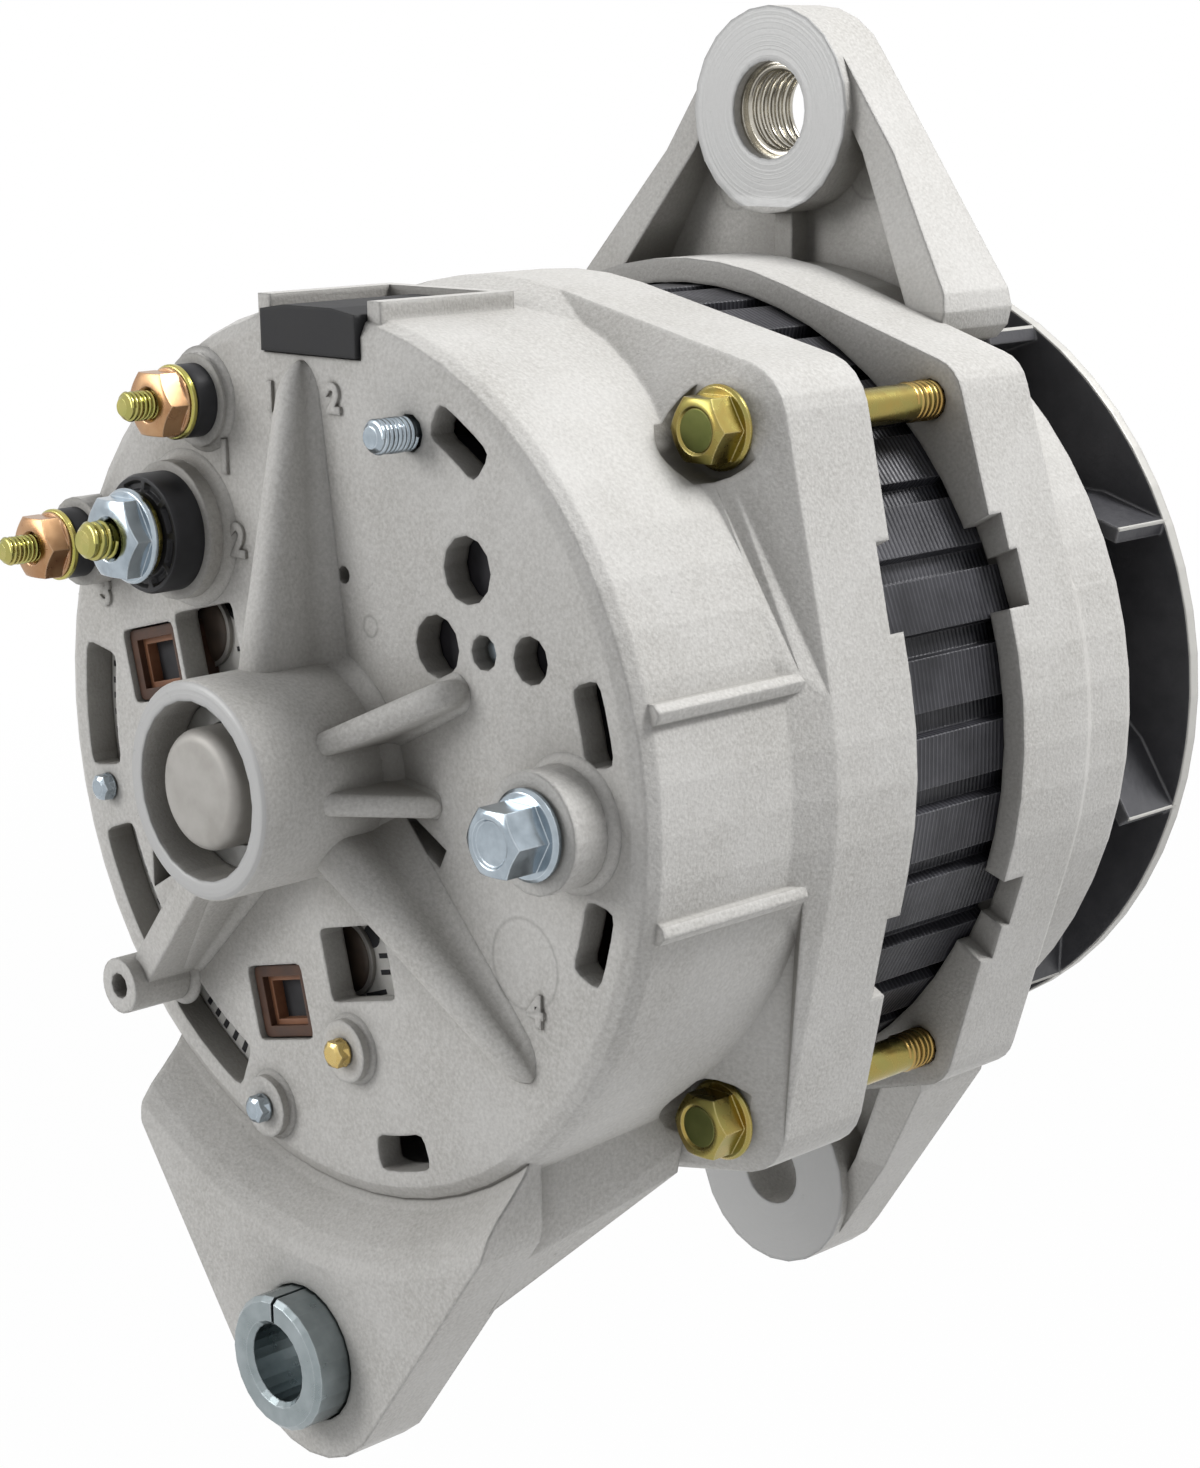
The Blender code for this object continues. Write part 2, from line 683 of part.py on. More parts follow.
def lug_outline(spread, shoulder, radius, corner):
    """An ear that widens from its eye towards two shoulders, eye at the origin and shoulders above."""
    points = circle(radius, MID_STEPS)
    for side in (-1, 1):
        points += circle(corner, SMALL_STEPS, (side * (spread - corner), shoulder))
    return hull(points)


def rear_arm():
    """The rear hinge lug: flat round its eye, swept forward to the rim and webbed back to the drum."""
    points = circle(REAR_LUG_RADIUS, MID_STEPS, (0, REAR_LUG_LIFT - HINGE_DROP))
    for side in (-1, 1):
        points += circle(ARM_CORNER, SMALL_STEPS, (side * (ARM_SPREAD - ARM_CORNER), -ARM_SHOULDER))
        points.append((side * ARM_SPREAD, -ARM_ROOT))
    arm = solid("arm", prism(hull(points), -REAR_LUG_BACK, REAR_LUG_FRONT))
    inner, outer = ARM_SWEEP_RADII
    sweep = []
    for step in range(ARM_SWEEP_STEPS + 1):
        share = step / ARM_SWEEP_STEPS
        ease = (1 + math.cos(math.pi * share)) / 2
        station = -REAR_LUG_BACK + (ARM_SWEEP_START + REAR_LUG_BACK) * ease
        sweep.append((inner + (outer - inner) * share, station))
    profile = [(ARM_ROOT / 2, -REAR_LUG_BACK - OVERRUN), (ARM_ROOT / 2, ARM_SWEEP_START)] + sweep
    cut(arm, turned(profile + [(outer, -REAR_LUG_BACK - OVERRUN)], FINE_STEPS))
    loops = []
    for station, corners in ((REAR_LUG_FRONT - ROOT, ARM_HEEL), (ARM_TOE_STATION, ARM_TOE)):
        (low_x, low_z), (high_x, high_z) = corners
        outline = [(-low_x, low_z), (low_x, low_z), (high_x, high_z), (high_x, -ARM_ROOT),
                   (-high_x, -ARM_ROOT), (-high_x, high_z)]
        loops.append([(x, station, z) for x, z in outline])
    add(arm, loft(loops))
    shape = bmesh.new()
    shape.from_mesh(arm.data)
    bpy.data.objects.remove(arm, do_unlink=True)
    return shape


def rear_cavity():
    """The hollow of the rear casting, with room left round each through-bolt's head."""
    inner = DRUM_RADIUS - DRUM_WALL
    step = CORE_START - GAP
    pilot = CORE_RADIUS + GAP
    end = REAR_FRAME_DEPTH + OVERRUN
    profile = [(0, PLATE_THICK), (inner - INNER_ROUND, PLATE_THICK), (inner, PLATE_THICK + INNER_ROUND),
               (inner, step), (pilot, step), (pilot, end), (0, end)]
    cavity = solid("cavity", turned(profile, FINE_STEPS))
    for place in bolt_places():
        cut(cavity, moved(rod(BOLT_BULGE_RADIUS, -OVERRUN, BOLT_BULGE_END, MID_STEPS), place))
    pocket = rectangle(PLUG_HALF_WIDTH + GAP + POCKET_WALL, (PLUG_TOP - PLUG_BOTTOM) / 2 + POCKET_WALL,
                       (0, (PLUG_TOP + PLUG_BOTTOM) / 2))
    cut(cavity, prism(pocket, -OVERRUN, PLUG_LENGTH + POCKET_WALL))
    shape = bmesh.new()
    shape.from_mesh(cavity.data)
    bpy.data.objects.remove(cavity, do_unlink=True)
    return shape


def cut_slot(frame, outline, steps):
    """A slot with round corners through the rear face, from its outline and the steps of each arc."""
    corners = (0, steps, steps + 1, 2 * steps + 1)
    cut(frame, prism(eased(outline, corners, SLOT_CORNER), -WINDOW_START, PLATE_THICK + OVERRUN))


def cut_face_openings(frame):
    """Windows, slots and holes through the rear face."""
    start = -WINDOW_START
    end = PLATE_THICK + OVERRUN
    for angle in RIM_SLOT_ANGLES:
        edge = (angle - RIM_SLOT_HALF_ANGLE, angle + RIM_SLOT_HALF_ANGLE)
        cut_slot(frame, sector(RIM_SLOT_INNER, RIM_SLOT_OUTER, *edge, SLOT_STEPS), SLOT_STEPS)
    for first, last in CRESCENTS:
        cut_slot(frame, sector(CRESCENT_INNER, CRESCENT_OUTER, first, last), ARC_STEPS)
    for half, places in ((SOCKET_WINDOW_HALF, SOCKET_SHARES), (WIDE_WINDOW_HALF, WIDE_WINDOW_SHARES)):
        for shares in places:
            window = eased(rectangle(*half, on_face(shares), WINDOW_TURN), range(4), WINDOW_CORNER)
            cut(frame, prism(window, start, end))
    for shares, radius in zip(ROUND_HOLE_SHARES, ROUND_HOLE_RADII):
        cut(frame, moved(rod(radius, start, end, SMALL_STEPS), on_face(shares)))
    cut(frame, moved(rod(PIN_HOLE_RADIUS, start, end, TINY_STEPS), on_face(PIN_HOLE_SHARES)))
    cut(frame, moved(rod(NOTCH_RADIUS, start, end, 3), on_face(NOTCH_SHARES)))
    cut(frame, prism(rectangle(*DARK_SLOT_HALF, on_face(DARK_SLOT_SHARES), DARK_SLOT_TURN), start, end))


def rear_frame():
    """The rear casting: face, hub, drum, band with lobes, hinge lug, gussets and bosses."""
    depth = REAR_FRAME_DEPTH
    drum = [(0, -HUB_LENGTH), (HUB_RADIUS - HUB_EDGE, -HUB_LENGTH), (HUB_RADIUS, -HUB_LENGTH + HUB_EDGE),
            (HUB_RADIUS, 0), (FACE_RADIUS, 0), (DRUM_RADIUS - RIM_ROUND / 3, RIM_ROUND / 3),
            (DRUM_RADIUS, RIM_ROUND), (DRUM_RADIUS, depth - BAND_EDGE), (0, depth - BAND_EDGE)]
    frame = solid("sre_frame", turned(drum, FINE_STEPS), "cast_aluminium")
    outline = band_outline(BAND_RADIUS, LOBE_RADIUS)
    inset = scaled_to(outline, DRUM_RADIUS - ROOT)
    loops = [[(x, FAIRING_START, z) for x, z in inset]]
    loops += [[(x, station, z) for x, z in outline] for station in (BAND_START, depth)]
    add(frame, loft(loops))
    for angle in SIDE_RIB_ANGLES:
        add(frame, side_rib(angle))
    add(frame, rear_arm())
    wall = rectangle(PLUG_HALF_WIDTH + GAP + POCKET_WALL, (POCKET_WALL_TOP - PLUG_BOTTOM) / 2,
                     (0, (POCKET_WALL_TOP + PLUG_BOTTOM) / 2))
    add(frame, prism(wall, RIM_ROUND / 2, PLUG_LENGTH + POCKET_WALL))
    add(frame, gusset(*TOP_WEB))
    add(frame, gusset(*BAR_WEB))
    add(frame, gusset(*SHORT_WEB))
    add(frame, gusset(*GROUND_WEB))
    add(frame, gusset(*CORNER_WEB))
    bosses = [(CORNER_BOSS_SHARES, CORNER_BOSS_RADIUS, CORNER_BOSS_HEIGHT),
              (GROUND_SHARES, GROUND_BOSS_RADIUS, GROUND_BOSS_HEIGHT),
              (BATTERY_SHARES, *BATTERY_BOSS), (INDICATOR_SHARES, *SIGNAL_BOSS), (RELAY_SHARES, *RELAY_BOSS)]
    for across, up, raised in SCREW_SHARES.values():
        if raised:
            bosses.append(((across, up), SCREW_BOSS_RADIUS, SCREW_BOSS_HEIGHT))
    for shares, radius, height in bosses:
        end = RIM_BOSS_END if shares == RELAY_SHARES else PLATE_THICK / 2
        add(frame, moved(rod(radius, -height, end, SMALL_STEPS + TINY_STEPS), on_face(shares)))
    cut(frame, rear_cavity())
    cut(frame, rod(HUB_BORE_RADIUS, -HUB_LENGTH - OVERRUN, -HUB_FLOOR, MID_STEPS))
    cut(frame, rod(SHAFT_PASSAGE_RADIUS, -HUB_FLOOR - OVERRUN, PLATE_THICK + OVERRUN, MID_STEPS))
    pocket = rectangle(PLUG_HALF_WIDTH + GAP, (PLUG_TOP - PLUG_BOTTOM) / 2 + GAP + OVERRUN,
                       (0, (PLUG_TOP + PLUG_BOTTOM) / 2 + OVERRUN))
    cut(frame, prism(pocket, -OVERRUN, PLUG_LENGTH + GAP))
    for place in bolt_places():
        nose = [(0, BOLT_POCKET_START), (BOLT_POCKET_RADIUS / 2, BOLT_POCKET_START),
                (BOLT_POCKET_RADIUS, BOLT_POCKET_START + BOLT_POCKET_NOSE),
                (BOLT_POCKET_RADIUS, BOLT_SEAT), (0, BOLT_SEAT)]
        cut(frame, moved(turned(nose, MID_STEPS), place))
        bore = rod(THROUGH_BOLT[0] + GAP, BOLT_SEAT - OVERRUN, depth + OVERRUN, SMALL_STEPS)
        cut(frame, moved(bore, place))
    for first, last in notch_angles(*NOTCH_ANGLES):
        notch = sector(CORE_RADIUS - OVERRUN, BAND_RADIUS + LOBE_RADIUS, first, last, 2)
        cut(frame, prism(notch, depth - REAR_NOTCH_DEPTH, depth + OVERRUN))
    eye = rod(BUSHING_RADIUS + GAP, -REAR_LUG_BACK - OVERRUN, REAR_LUG_FRONT + OVERRUN, MID_STEPS)
    cut(frame, moved(eye, (0, -HINGE_DROP)))
    cut_face_openings(frame)
    cut_terminal_holes(frame)
    return frame


def cut_terminal_holes(frame):
    """Holes for the studs and screws that the rear face carries."""
    end = PLATE_THICK + OVERRUN
    foot = end + STUD_FOOT
    for shares, stud, boss in ((BATTERY_SHARES, BATTERY_STUD, BATTERY_BOSS),
                               (INDICATOR_SHARES, SIGNAL_STUD, SIGNAL_BOSS),
                               (RELAY_SHARES, RELAY_STUD, RELAY_BOSS)):
        radius = stud[0] + COLLAR_MARGIN + 2 * GAP
        cut(frame, moved(rod(radius, -boss[1] - OVERRUN, foot, SMALL_STEPS), on_face(shares)))
    hole = rod(GROUND_SCREW[0] + GAP, -GROUND_BOSS_HEIGHT - OVERRUN, end, SMALL_STEPS)
    cut(frame, moved(hole, on_face(GROUND_SHARES)))
    hole = rod(COVER_STUD[0] + GAP, -OVERRUN, end, TINY_STEPS)
    cut(frame, moved(hole, on_face(COVER_STUD_SHARES)))
    for across, up, raised in SCREW_SHARES.values():
        start = -raised * SCREW_BOSS_HEIGHT
        hole = rod(SMALL_SCREW[0] + GAP, start - OVERRUN, end, TINY_STEPS)
        cut(frame, moved(hole, on_face((across, up))))
    sunk = rod(SMALL_SCREW[3] + GAP, -OVERRUN, end, TINY_STEPS)
    cut(frame, moved(sunk, on_face(SUNK_SCREW_SHARES)))
    corner = rod(CORNER_BOSS_HOLE, -CORNER_BOSS_HEIGHT - OVERRUN, CORNER_BOSS_DEPTH - CORNER_BOSS_HEIGHT,
                 TINY_STEPS)
    cut(frame, moved(corner, on_face(CORNER_BOSS_SHARES)))


def ribbed_ear(spread, shoulder, front):
    """An ear with a machined eye, a flange along each side, a middle rib and two recessed panels."""
    back = front - EAR_DEPTH
    floor = front - EAR_FLOOR
    side = back + EAR_BAR_SETBACK
    outline = lug_outline(spread + LUG_CORNER_RADIUS, shoulder, LUG_RADIUS, LUG_CORNER_RADIUS)
    inner = lug_outline(spread + LUG_CORNER_RADIUS - EAR_WALL, shoulder + LUG_CORNER_RADIUS,
                        LUG_RADIUS - EAR_WALL, LUG_CORNER_RADIUS - EAR_WALL)
    rear = side - EAR_FLARE
    panel = solid("panel", prism(inner, rear - OVERRUN, floor))
    cut(panel, rod(LUG_RADIUS, rear - 2 * OVERRUN, front, MID_STEPS))
    rib = rectangle(EAR_RIB_THICK / 2, shoulder, (0, shoulder))
    cut(panel, prism(rib, side + EAR_BAR_SETBACK, front))
    ear = solid("ear", prism(outline, rear, front))
    slope = [(rear - OVERRUN, -2 * LUG_RADIUS), (side, -2 * LUG_RADIUS), (side, EAR_FLARE_DROP),
             (rear, shoulder), (rear - OVERRUN, shoulder)]
    cut(ear, side_prism(slope, 2 * spread))
    recess = bmesh.new()
    recess.from_mesh(panel.data)
    bpy.data.objects.remove(panel, do_unlink=True)
    cut(ear, recess)
    add(ear, rod(LUG_RADIUS, back, front - ROOT, MID_STEPS))
    shape = bmesh.new()
    shape.from_mesh(ear.data)
    bpy.data.objects.remove(ear, do_unlink=True)
    return shape


def drive_cavity():
    """The hollow of the drive-end casting, open towards the stator."""
    end = DRIVE_FACE_STATION
    floor = end - DRIVE_PLATE
    inner = DRIVE_DRUM_RADIUS - DRUM_WALL - DRIVE_SHOULDER_IN
    seat = CORE_START + CORE_LENGTH + GAP
    pilot = CORE_RADIUS + GAP
    start = DRIVE_EDGE_STATION - OVERRUN
    hub_start = bearing_station() - ROOT
    profile = [(0, start), (pilot, start), (pilot, seat), (inner, seat), (inner, floor - INNER_ROUND),
               (inner - INNER_ROUND, floor), (DRIVE_HUB_RADIUS + RETAINER_THICK, floor),
               (DRIVE_HUB_RADIUS, floor - RETAINER_THICK), (DRIVE_HUB_RADIUS, hub_start), (0, hub_start)]
    return turned(profile, FINE_STEPS)


def bearing_station():
    """Where the front bearing's rear side stands."""
    return DRIVE_FACE_STATION - RETAINER_THICK - FRONT_BEARING_WIDTH


def drive_frame():
    """The drive-end casting: band with lobes, drum, hub, vents, threaded ear and hinge lug."""
    start = DRIVE_EDGE_STATION
    end = DRIVE_FACE_STATION
    drum = [(0, start + BAND_EDGE), (DRIVE_DRUM_RADIUS, start + BAND_EDGE),
            (DRIVE_DRUM_RADIUS, end - DRIVE_SHOULDER),
            (DRIVE_DRUM_RADIUS - DRIVE_SHOULDER_IN / 3, end - DRIVE_SHOULDER / 2),
            (DRIVE_DRUM_RADIUS - DRIVE_SHOULDER_IN, end), (DRIVE_HUB_RADIUS, end),
            (DRIVE_HUB_RADIUS - DRIVE_HUB_PROUD, end + DRIVE_HUB_PROUD), (0, end + DRIVE_HUB_PROUD)]
    frame = solid("de_frame", turned(drum, FINE_STEPS), "cast_aluminium")
    outline = band_outline(DRIVE_BAND_RADIUS, DRIVE_LOBE_RADIUS)
    inset = scaled_to(outline, DRIVE_DRUM_RADIUS - ROOT)
    band_end = start + DRIVE_BAND_LENGTH
    loops = [[(x, station, z) for x, z in outline] for station in (start, band_end)]
    loops.append([(x, band_end + DRIVE_SHOULDER, z) for x, z in inset])
    add(frame, loft(loops))
    ear = ribbed_ear(EAR_SPREAD, EAR_SHOULDER_DROP, EAR_STATION + EAR_DEPTH)
    bmesh.ops.rotate(ear, verts=ear.verts, cent=(0, 0, 0), matrix=Matrix.Rotation(math.pi, 3, "Y"))
    add(frame, moved(ear, (0, EAR_RISE)))
    lug = ribbed_ear(LUG_SPREAD, LUG_SHOULDER_RISE, DRIVE_LUG_STATION + EAR_DEPTH)
    add(frame, moved(lug, (0, -HINGE_DROP)))
    cut(frame, drive_cavity())
    bore = FRONT_BEARING_RADIUS + GAP
    cut(frame, rod(bore, bearing_station() - OVERRUN, end - RETAINER_THICK + GAP, MID_STEPS))
    passage = SPACER_RADIUS + 2 * GAP
    cut(frame, rod(passage, end - RETAINER_THICK - OVERRUN, end + DRIVE_HUB_PROUD + OVERRUN, MID_STEPS))
    for number in range(DRIVE_VENT_COUNT):
        middle = 360 * (number + 0.5) / DRIVE_VENT_COUNT
        edge = (middle - DRIVE_VENT_HALF_ANGLE, middle + DRIVE_VENT_HALF_ANGLE)
        vent = sector(DRIVE_VENT_INNER, DRIVE_VENT_OUTER, *edge, 3)
        cut(frame, prism(vent, end - DRIVE_PLATE - OVERRUN, end + OVERRUN))
    for first, last, deep in DRIVE_NOTCH_STEPS:
        for edge in notch_angles(first, last):
            notch = sector(CORE_RADIUS - OVERRUN, BAND_RADIUS + LOBE_RADIUS, *edge, 2)
            cut(frame, prism(notch, start - OVERRUN, start + deep))
    for place in bolt_places():
        bore = rod(THROUGH_BOLT[0] + GAP, start - OVERRUN, start + THREAD_DEPTH, SMALL_STEPS)
        cut(frame, moved(bore, place))
    ear_end = EAR_STATION + EAR_DEPTH + OVERRUN
    cut(frame, moved(rod(EAR_HOLE_RADIUS, EAR_STATION - OVERRUN, ear_end, MID_STEPS), (0, EAR_RISE)))
    lug_end = DRIVE_LUG_STATION + EAR_DEPTH + OVERRUN
    eye = rod(HINGE_BOLT_RADIUS, DRIVE_LUG_STATION - OVERRUN, lug_end, MID_STEPS)
    cut(frame, moved(eye, (0, -HINGE_DROP)))
    for angle in RETAINER_SCREW_ANGLES:
        hole = rod(SMALL_SCREW[0] + GAP, bearing_station() - OVERRUN,
                   bearing_station() + SMALL_SCREW_LENGTH + GAP, TINY_STEPS)
        cut(frame, moved(hole, polar(RETAINER_SCREW_RING - COLLAR_MARGIN, angle)))
    return frame


def stator_core():
    """The laminated ring: a land and a groove outside, and a winding slot inside, for each tooth."""
    pitch = 360 / CORE_TEETH
    outline = []
    for tooth in range(CORE_TEETH):
        middle = LAND_PHASE + tooth * pitch
        outline.append(polar(CORE_GROOVE_RADIUS, middle - pitch / 2 - GROOVE_HALF_ANGLE))
        outline.append(polar(CORE_GROOVE_RADIUS, middle - pitch / 2 + GROOVE_HALF_ANGLE))
        outline.append(polar(CORE_RADIUS, middle - LAND_HALF_ANGLE))
        outline.append(polar(CORE_RADIUS, middle + LAND_HALF_ANGLE))
    inner = []
    for tooth in range(CORE_TEETH):
        middle = LAND_PHASE + tooth * pitch
        narrow = math.degrees(SLOT_HALF_WIDTH / CORE_BORE_RADIUS)
        wide = math.degrees(SLOT_HALF_WIDTH / CORE_SLOT_RADIUS)
        inner.append(polar(CORE_BORE_RADIUS, middle - narrow))
        inner.append(polar(CORE_SLOT_RADIUS, middle - wide))
        inner.append(polar(CORE_SLOT_RADIUS, middle + wide))
        inner.append(polar(CORE_BORE_RADIUS, middle + narrow))
    end = CORE_START + CORE_LENGTH
    core = solid("stator_core", prism(outline, CORE_START, end), "stator_black")
    cut(core, prism(inner, CORE_START - OVERRUN, end + OVERRUN))
    return core


def overhang_ring(start, end, rounded_low):
    """One rounded ring of end turns, rounded on the side away from the core."""
    inner, outer = WINDING_INNER, WINDING_OUTER
    far, near = (start, end) if rounded_low else (end, start)
    ease = WINDING_ROUND if rounded_low else -WINDING_ROUND
    return turned([(inner, near), (outer, near), (outer, far + ease), (outer - WINDING_ROUND, far),
                   (inner + WINDING_ROUND, far), (inner, far + ease)], WINDING_STEPS)


def stator_winding():
    """Bars through the core's slots and the ring of end turns at each side."""
    pitch = 360 / CORE_TEETH
    end = CORE_START + CORE_LENGTH
    half = SLOT_HALF_WIDTH - 2 * GAP
    low = CORE_START - GAP - WINDING_OVERHANG
    high = end + GAP + WINDING_OVERHANG
    winding = solid("stator_winding", overhang_ring(low, CORE_START - GAP, True), "copper_winding")
    add(winding, overhang_ring(end + GAP, high, False))
    bars = bmesh.new()
    middle = (WINDING_INNER + WINDING_OUTER) / 2
    for slot in range(CORE_TEETH):
        outline = rectangle(half, (WINDING_OUTER - WINDING_INNER) / 2 - GAP, (0, middle))
        bar = prism(outline, CORE_START - GAP - ROOT, end + GAP + ROOT)
        moved(bar, (0, 0), LAND_PHASE + slot * pitch - 90)
        spare = bpy.data.meshes.new("bar")
        bar.to_mesh(spare)
        bars.from_mesh(spare)
        bar.free()
        bpy.data.meshes.remove(spare)
    add(winding, bars)
    return winding


def claw(disc_start, tip, direction, name):
    """One pole segment: disc, half of the core and its seven tapering claws."""
    disc_end = disc_start + direction * POLE_DISC
    middle = POLE_START + POLE_LENGTH / 2
    profile = [(ROTOR_JOURNAL_RADIUS + GAP, disc_start), (POLE_DISC_RADIUS, disc_start),
               (POLE_DISC_RADIUS, disc_end), (POLE_HUB_RADIUS, disc_end),
               (POLE_HUB_RADIUS, middle - direction * GAP / 2),
               (ROTOR_JOURNAL_RADIUS + GAP, middle - direction * GAP / 2)]
    pole = solid(name, turned(profile, FINE_STEPS - MID_STEPS), "pole_black")
    shift = 0 if direction > 0 else 180 / POLE_COUNT
    for number in range(POLE_COUNT):
        angle = number * 360 / POLE_COUNT + shift
        root = sector(POLE_DISC_RADIUS - CLAW_DEPTH / 2, POLE_RADIUS,
                      angle - CLAW_ROOT_ANGLE, angle + CLAW_ROOT_ANGLE, 2)
        knee = sector(POLE_RADIUS - CLAW_DEPTH, POLE_RADIUS,
                      angle - CLAW_ROOT_ANGLE, angle + CLAW_ROOT_ANGLE, 2)
        point = sector(POLE_RADIUS - CLAW_TIP_THIN, POLE_RADIUS,
                       angle - CLAW_TIP_ANGLE, angle + CLAW_TIP_ANGLE, 2)
        loops = [[(x, disc_start, z) for x, z in root], [(x, disc_end, z) for x, z in knee],
                 [(x, tip, z) for x, z in point]]
        add(pole, loft(loops))
    return pole


def rotor_shaft():
    """The stepped shaft, from the tail in the rear hub to the threaded nose."""
    front = POLE_START + POLE_LENGTH
    seat = bearing_station()
    thread = FAN_STATION + FAN_THICK + GAP
    profile = [(0, -HUB_LENGTH + GAP), (SHAFT_TAIL_RADIUS - SHAFT_TAIL_EDGE, -HUB_LENGTH + GAP),
               (SHAFT_TAIL_RADIUS, -HUB_LENGTH + GAP + SHAFT_TAIL_EDGE), (SHAFT_TAIL_RADIUS, SHAFT_TAIL_END),
               (SHAFT_RADIUS, SHAFT_TAIL_END + ROOT), (SHAFT_RADIUS, SLEEVE_END + GAP),
               (ROTOR_JOURNAL_RADIUS, SLEEVE_END + GAP + ROOT), (ROTOR_JOURNAL_RADIUS, front + ROOT),
               (SEAT_RADIUS, seat - ROOT), (SEAT_RADIUS, thread), (SHAFT_THREAD_RADIUS, thread + ROOT),
               (SHAFT_THREAD_RADIUS, SHAFT_FRONT - SHAFT_END_EDGE),
               (SHAFT_THREAD_RADIUS - SHAFT_END_EDGE, SHAFT_FRONT), (0, SHAFT_FRONT)]
    return solid("rotor_shaft", turned(profile, MID_STEPS), "machined_steel")


def field_coil():
    """The bobbin and its winding between the two pole segments."""
    start = POLE_START + POLE_DISC + GAP
    end = POLE_START + POLE_LENGTH - POLE_DISC - GAP
    inner = POLE_HUB_RADIUS + GAP
    crest = COIL_OUTER - CLAW_DEPTH / 4
    low = crest - COIL_FLANGE
    profile = [(inner, start), (crest, start), (crest, start + COIL_FLANGE), (low, start + COIL_FLANGE),
               (low, end - COIL_FLANGE), (crest, end - COIL_FLANGE), (crest, end), (inner, end)]
    return solid("field_coil", turned(profile, MID_STEPS), "copper_winding")


def slip_rings():
    """The insulating sleeve on the shaft and its two collector rings."""
    half = RING_WIDTH / 2
    inner = SHAFT_RADIUS + GAP
    solid("slip_ring_sleeve", tube(inner, SLEEVE_RADIUS, SLEEVE_START, SLEEVE_END, MID_STEPS), "black_plastic")
    for name, station in zip(("slip_ring_rear", "slip_ring_front"), RING_STATIONS):
        ring = tube(SLEEVE_RADIUS + GAP, RING_RADIUS, station - half, station + half, MID_STEPS)
        solid(name, ring, "copper_winding")


def bearings():
    """The sealed ball bearing at the drive end and the roller cup in the rear hub."""
    start = bearing_station() + GAP
    end = start + FRONT_BEARING_WIDTH - 2 * GAP
    middle = (start + end) / 2
    outer_in = FRONT_BEARING_RADIUS - RACE_THICK
    half = (end - start) / 4
    outer = [(outer_in, start), (FRONT_BEARING_RADIUS, start), (FRONT_BEARING_RADIUS, end), (outer_in, end),
             (outer_in, middle + half), (outer_in + RACE_GROOVE, middle), (outer_in, middle - half)]
    solid("front_bearing_outer_race", turned(outer, MID_STEPS), "machined_steel")
    bore = SEAT_RADIUS + GAP
    inner_out = bore + RACE_THICK - GAP
    inner = [(bore, start), (inner_out, start), (inner_out, middle - half), (inner_out - RACE_GROOVE, middle),
             (inner_out, middle + half), (inner_out, end), (bore, end)]
    solid("front_bearing_inner_race", turned(inner, MID_STEPS), "machined_steel")
    cage = tube(BALL_RING_RADIUS - CAGE_HALF_THICK, BALL_RING_RADIUS + CAGE_HALF_THICK,
                middle - CAGE_HALF_WIDTH, middle + CAGE_HALF_WIDTH, SMALL_STEPS)
    balls = solid("ball_cage", cage, "brass")
    for number in range(BALL_COUNT):
        x, z = polar(BALL_RING_RADIUS, 360 * number / BALL_COUNT)
        ball = bmesh.new()
        bmesh.ops.create_icosphere(ball, subdivisions=2, radius=BALL_RADIUS,
                                   matrix=Matrix.Translation(Vector((x, middle, z))))
        add(balls, ball)
    rear_end = -HUB_FLOOR - GAP
    cup = tube(REAR_BEARING_BORE, HUB_BORE_RADIUS - GAP, rear_end - REAR_BEARING_WIDTH, rear_end, MID_STEPS)
    solid("rear_bearing", cup, "machined_steel")
    plate_end = bearing_station() - ROOT - GAP
    plate = solid("bearing_retainer", tube(RETAINER_BORE, RETAINER_RADIUS, plate_end - RETAINER_THICK,
                                           plate_end, MID_STEPS), "machined_steel")
    for number, angle in enumerate(RETAINER_SCREW_ANGLES, 1):
        place = polar(RETAINER_SCREW_RING - COLLAR_MARGIN, angle)
        hole = rod(SMALL_SCREW[0] + GAP, plate_end - RETAINER_THICK - OVERRUN, plate_end + OVERRUN, TINY_STEPS)
        cut(plate, moved(hole, place))
        screw_at(f"retainer_screw_{number}", SMALL_SCREW, SMALL_SCREW_LENGTH + ROOT,
                 (place[0], plate_end - RETAINER_THICK - GAP, place[1]), "machined_steel")


def screw_at(name, sizes, length, place, finish):
    """A flanged hexagon screw whose flange seats at its place, head towards the rear."""
    radius, across, head, flange, flange_height = sizes
    top = -head - flange_height
    profile = [(0, -flange_height - ROOT), (flange - flange_height, -flange_height - ROOT),
               (flange, -flange_height / 2), (flange, 0), (radius, 0), (radius, length - STUD_EDGE),
               (radius - STUD_EDGE, length), (0, length)]
    item = solid(name, turned(profile, SMALL_STEPS), finish, place)
    add(item, chamfered_hexagon(across, top, -flange_height))
    return item


def chamfered_hexagon(across, top, bottom):
    """A hexagon head with the corners of its outer end eased."""
    block = solid("head", prism(hexagon(across), top, bottom))
    half = across / 2
    reach = across
    lens = [(0, top), (half - NUT_CHAMFER / 2, top), (reach, top + (reach - half) / 2 + NUT_CHAMFER / 2),
            (reach, bottom + NUT_CHAMFER), (0, bottom + NUT_CHAMFER)]
    boolean(block, turned(lens, SMALL_STEPS), "INTERSECT")
    shape = bmesh.new()
    shape.from_mesh(block.data)
    bpy.data.objects.remove(block, do_unlink=True)
    return shape


def flange_nut(name, sizes, bore, place, finish):
    """A hexagon nut with a washer face, seated at its place and standing to the rear."""
    across, height, flange, flange_height = sizes
    profile = [(0, -flange_height - ROOT), (flange - flange_height / 2, -flange_height - ROOT),
               (flange, -flange_height / 2), (flange, 0), (0, 0)]
    item = solid(name, turned(profile, SMALL_STEPS), finish, place)
    add(item, chamfered_hexagon(across, -height - flange_height, -flange_height))
    cut(item, rod(bore, -height - flange_height - OVERRUN, OVERRUN, SMALL_STEPS))
    return item


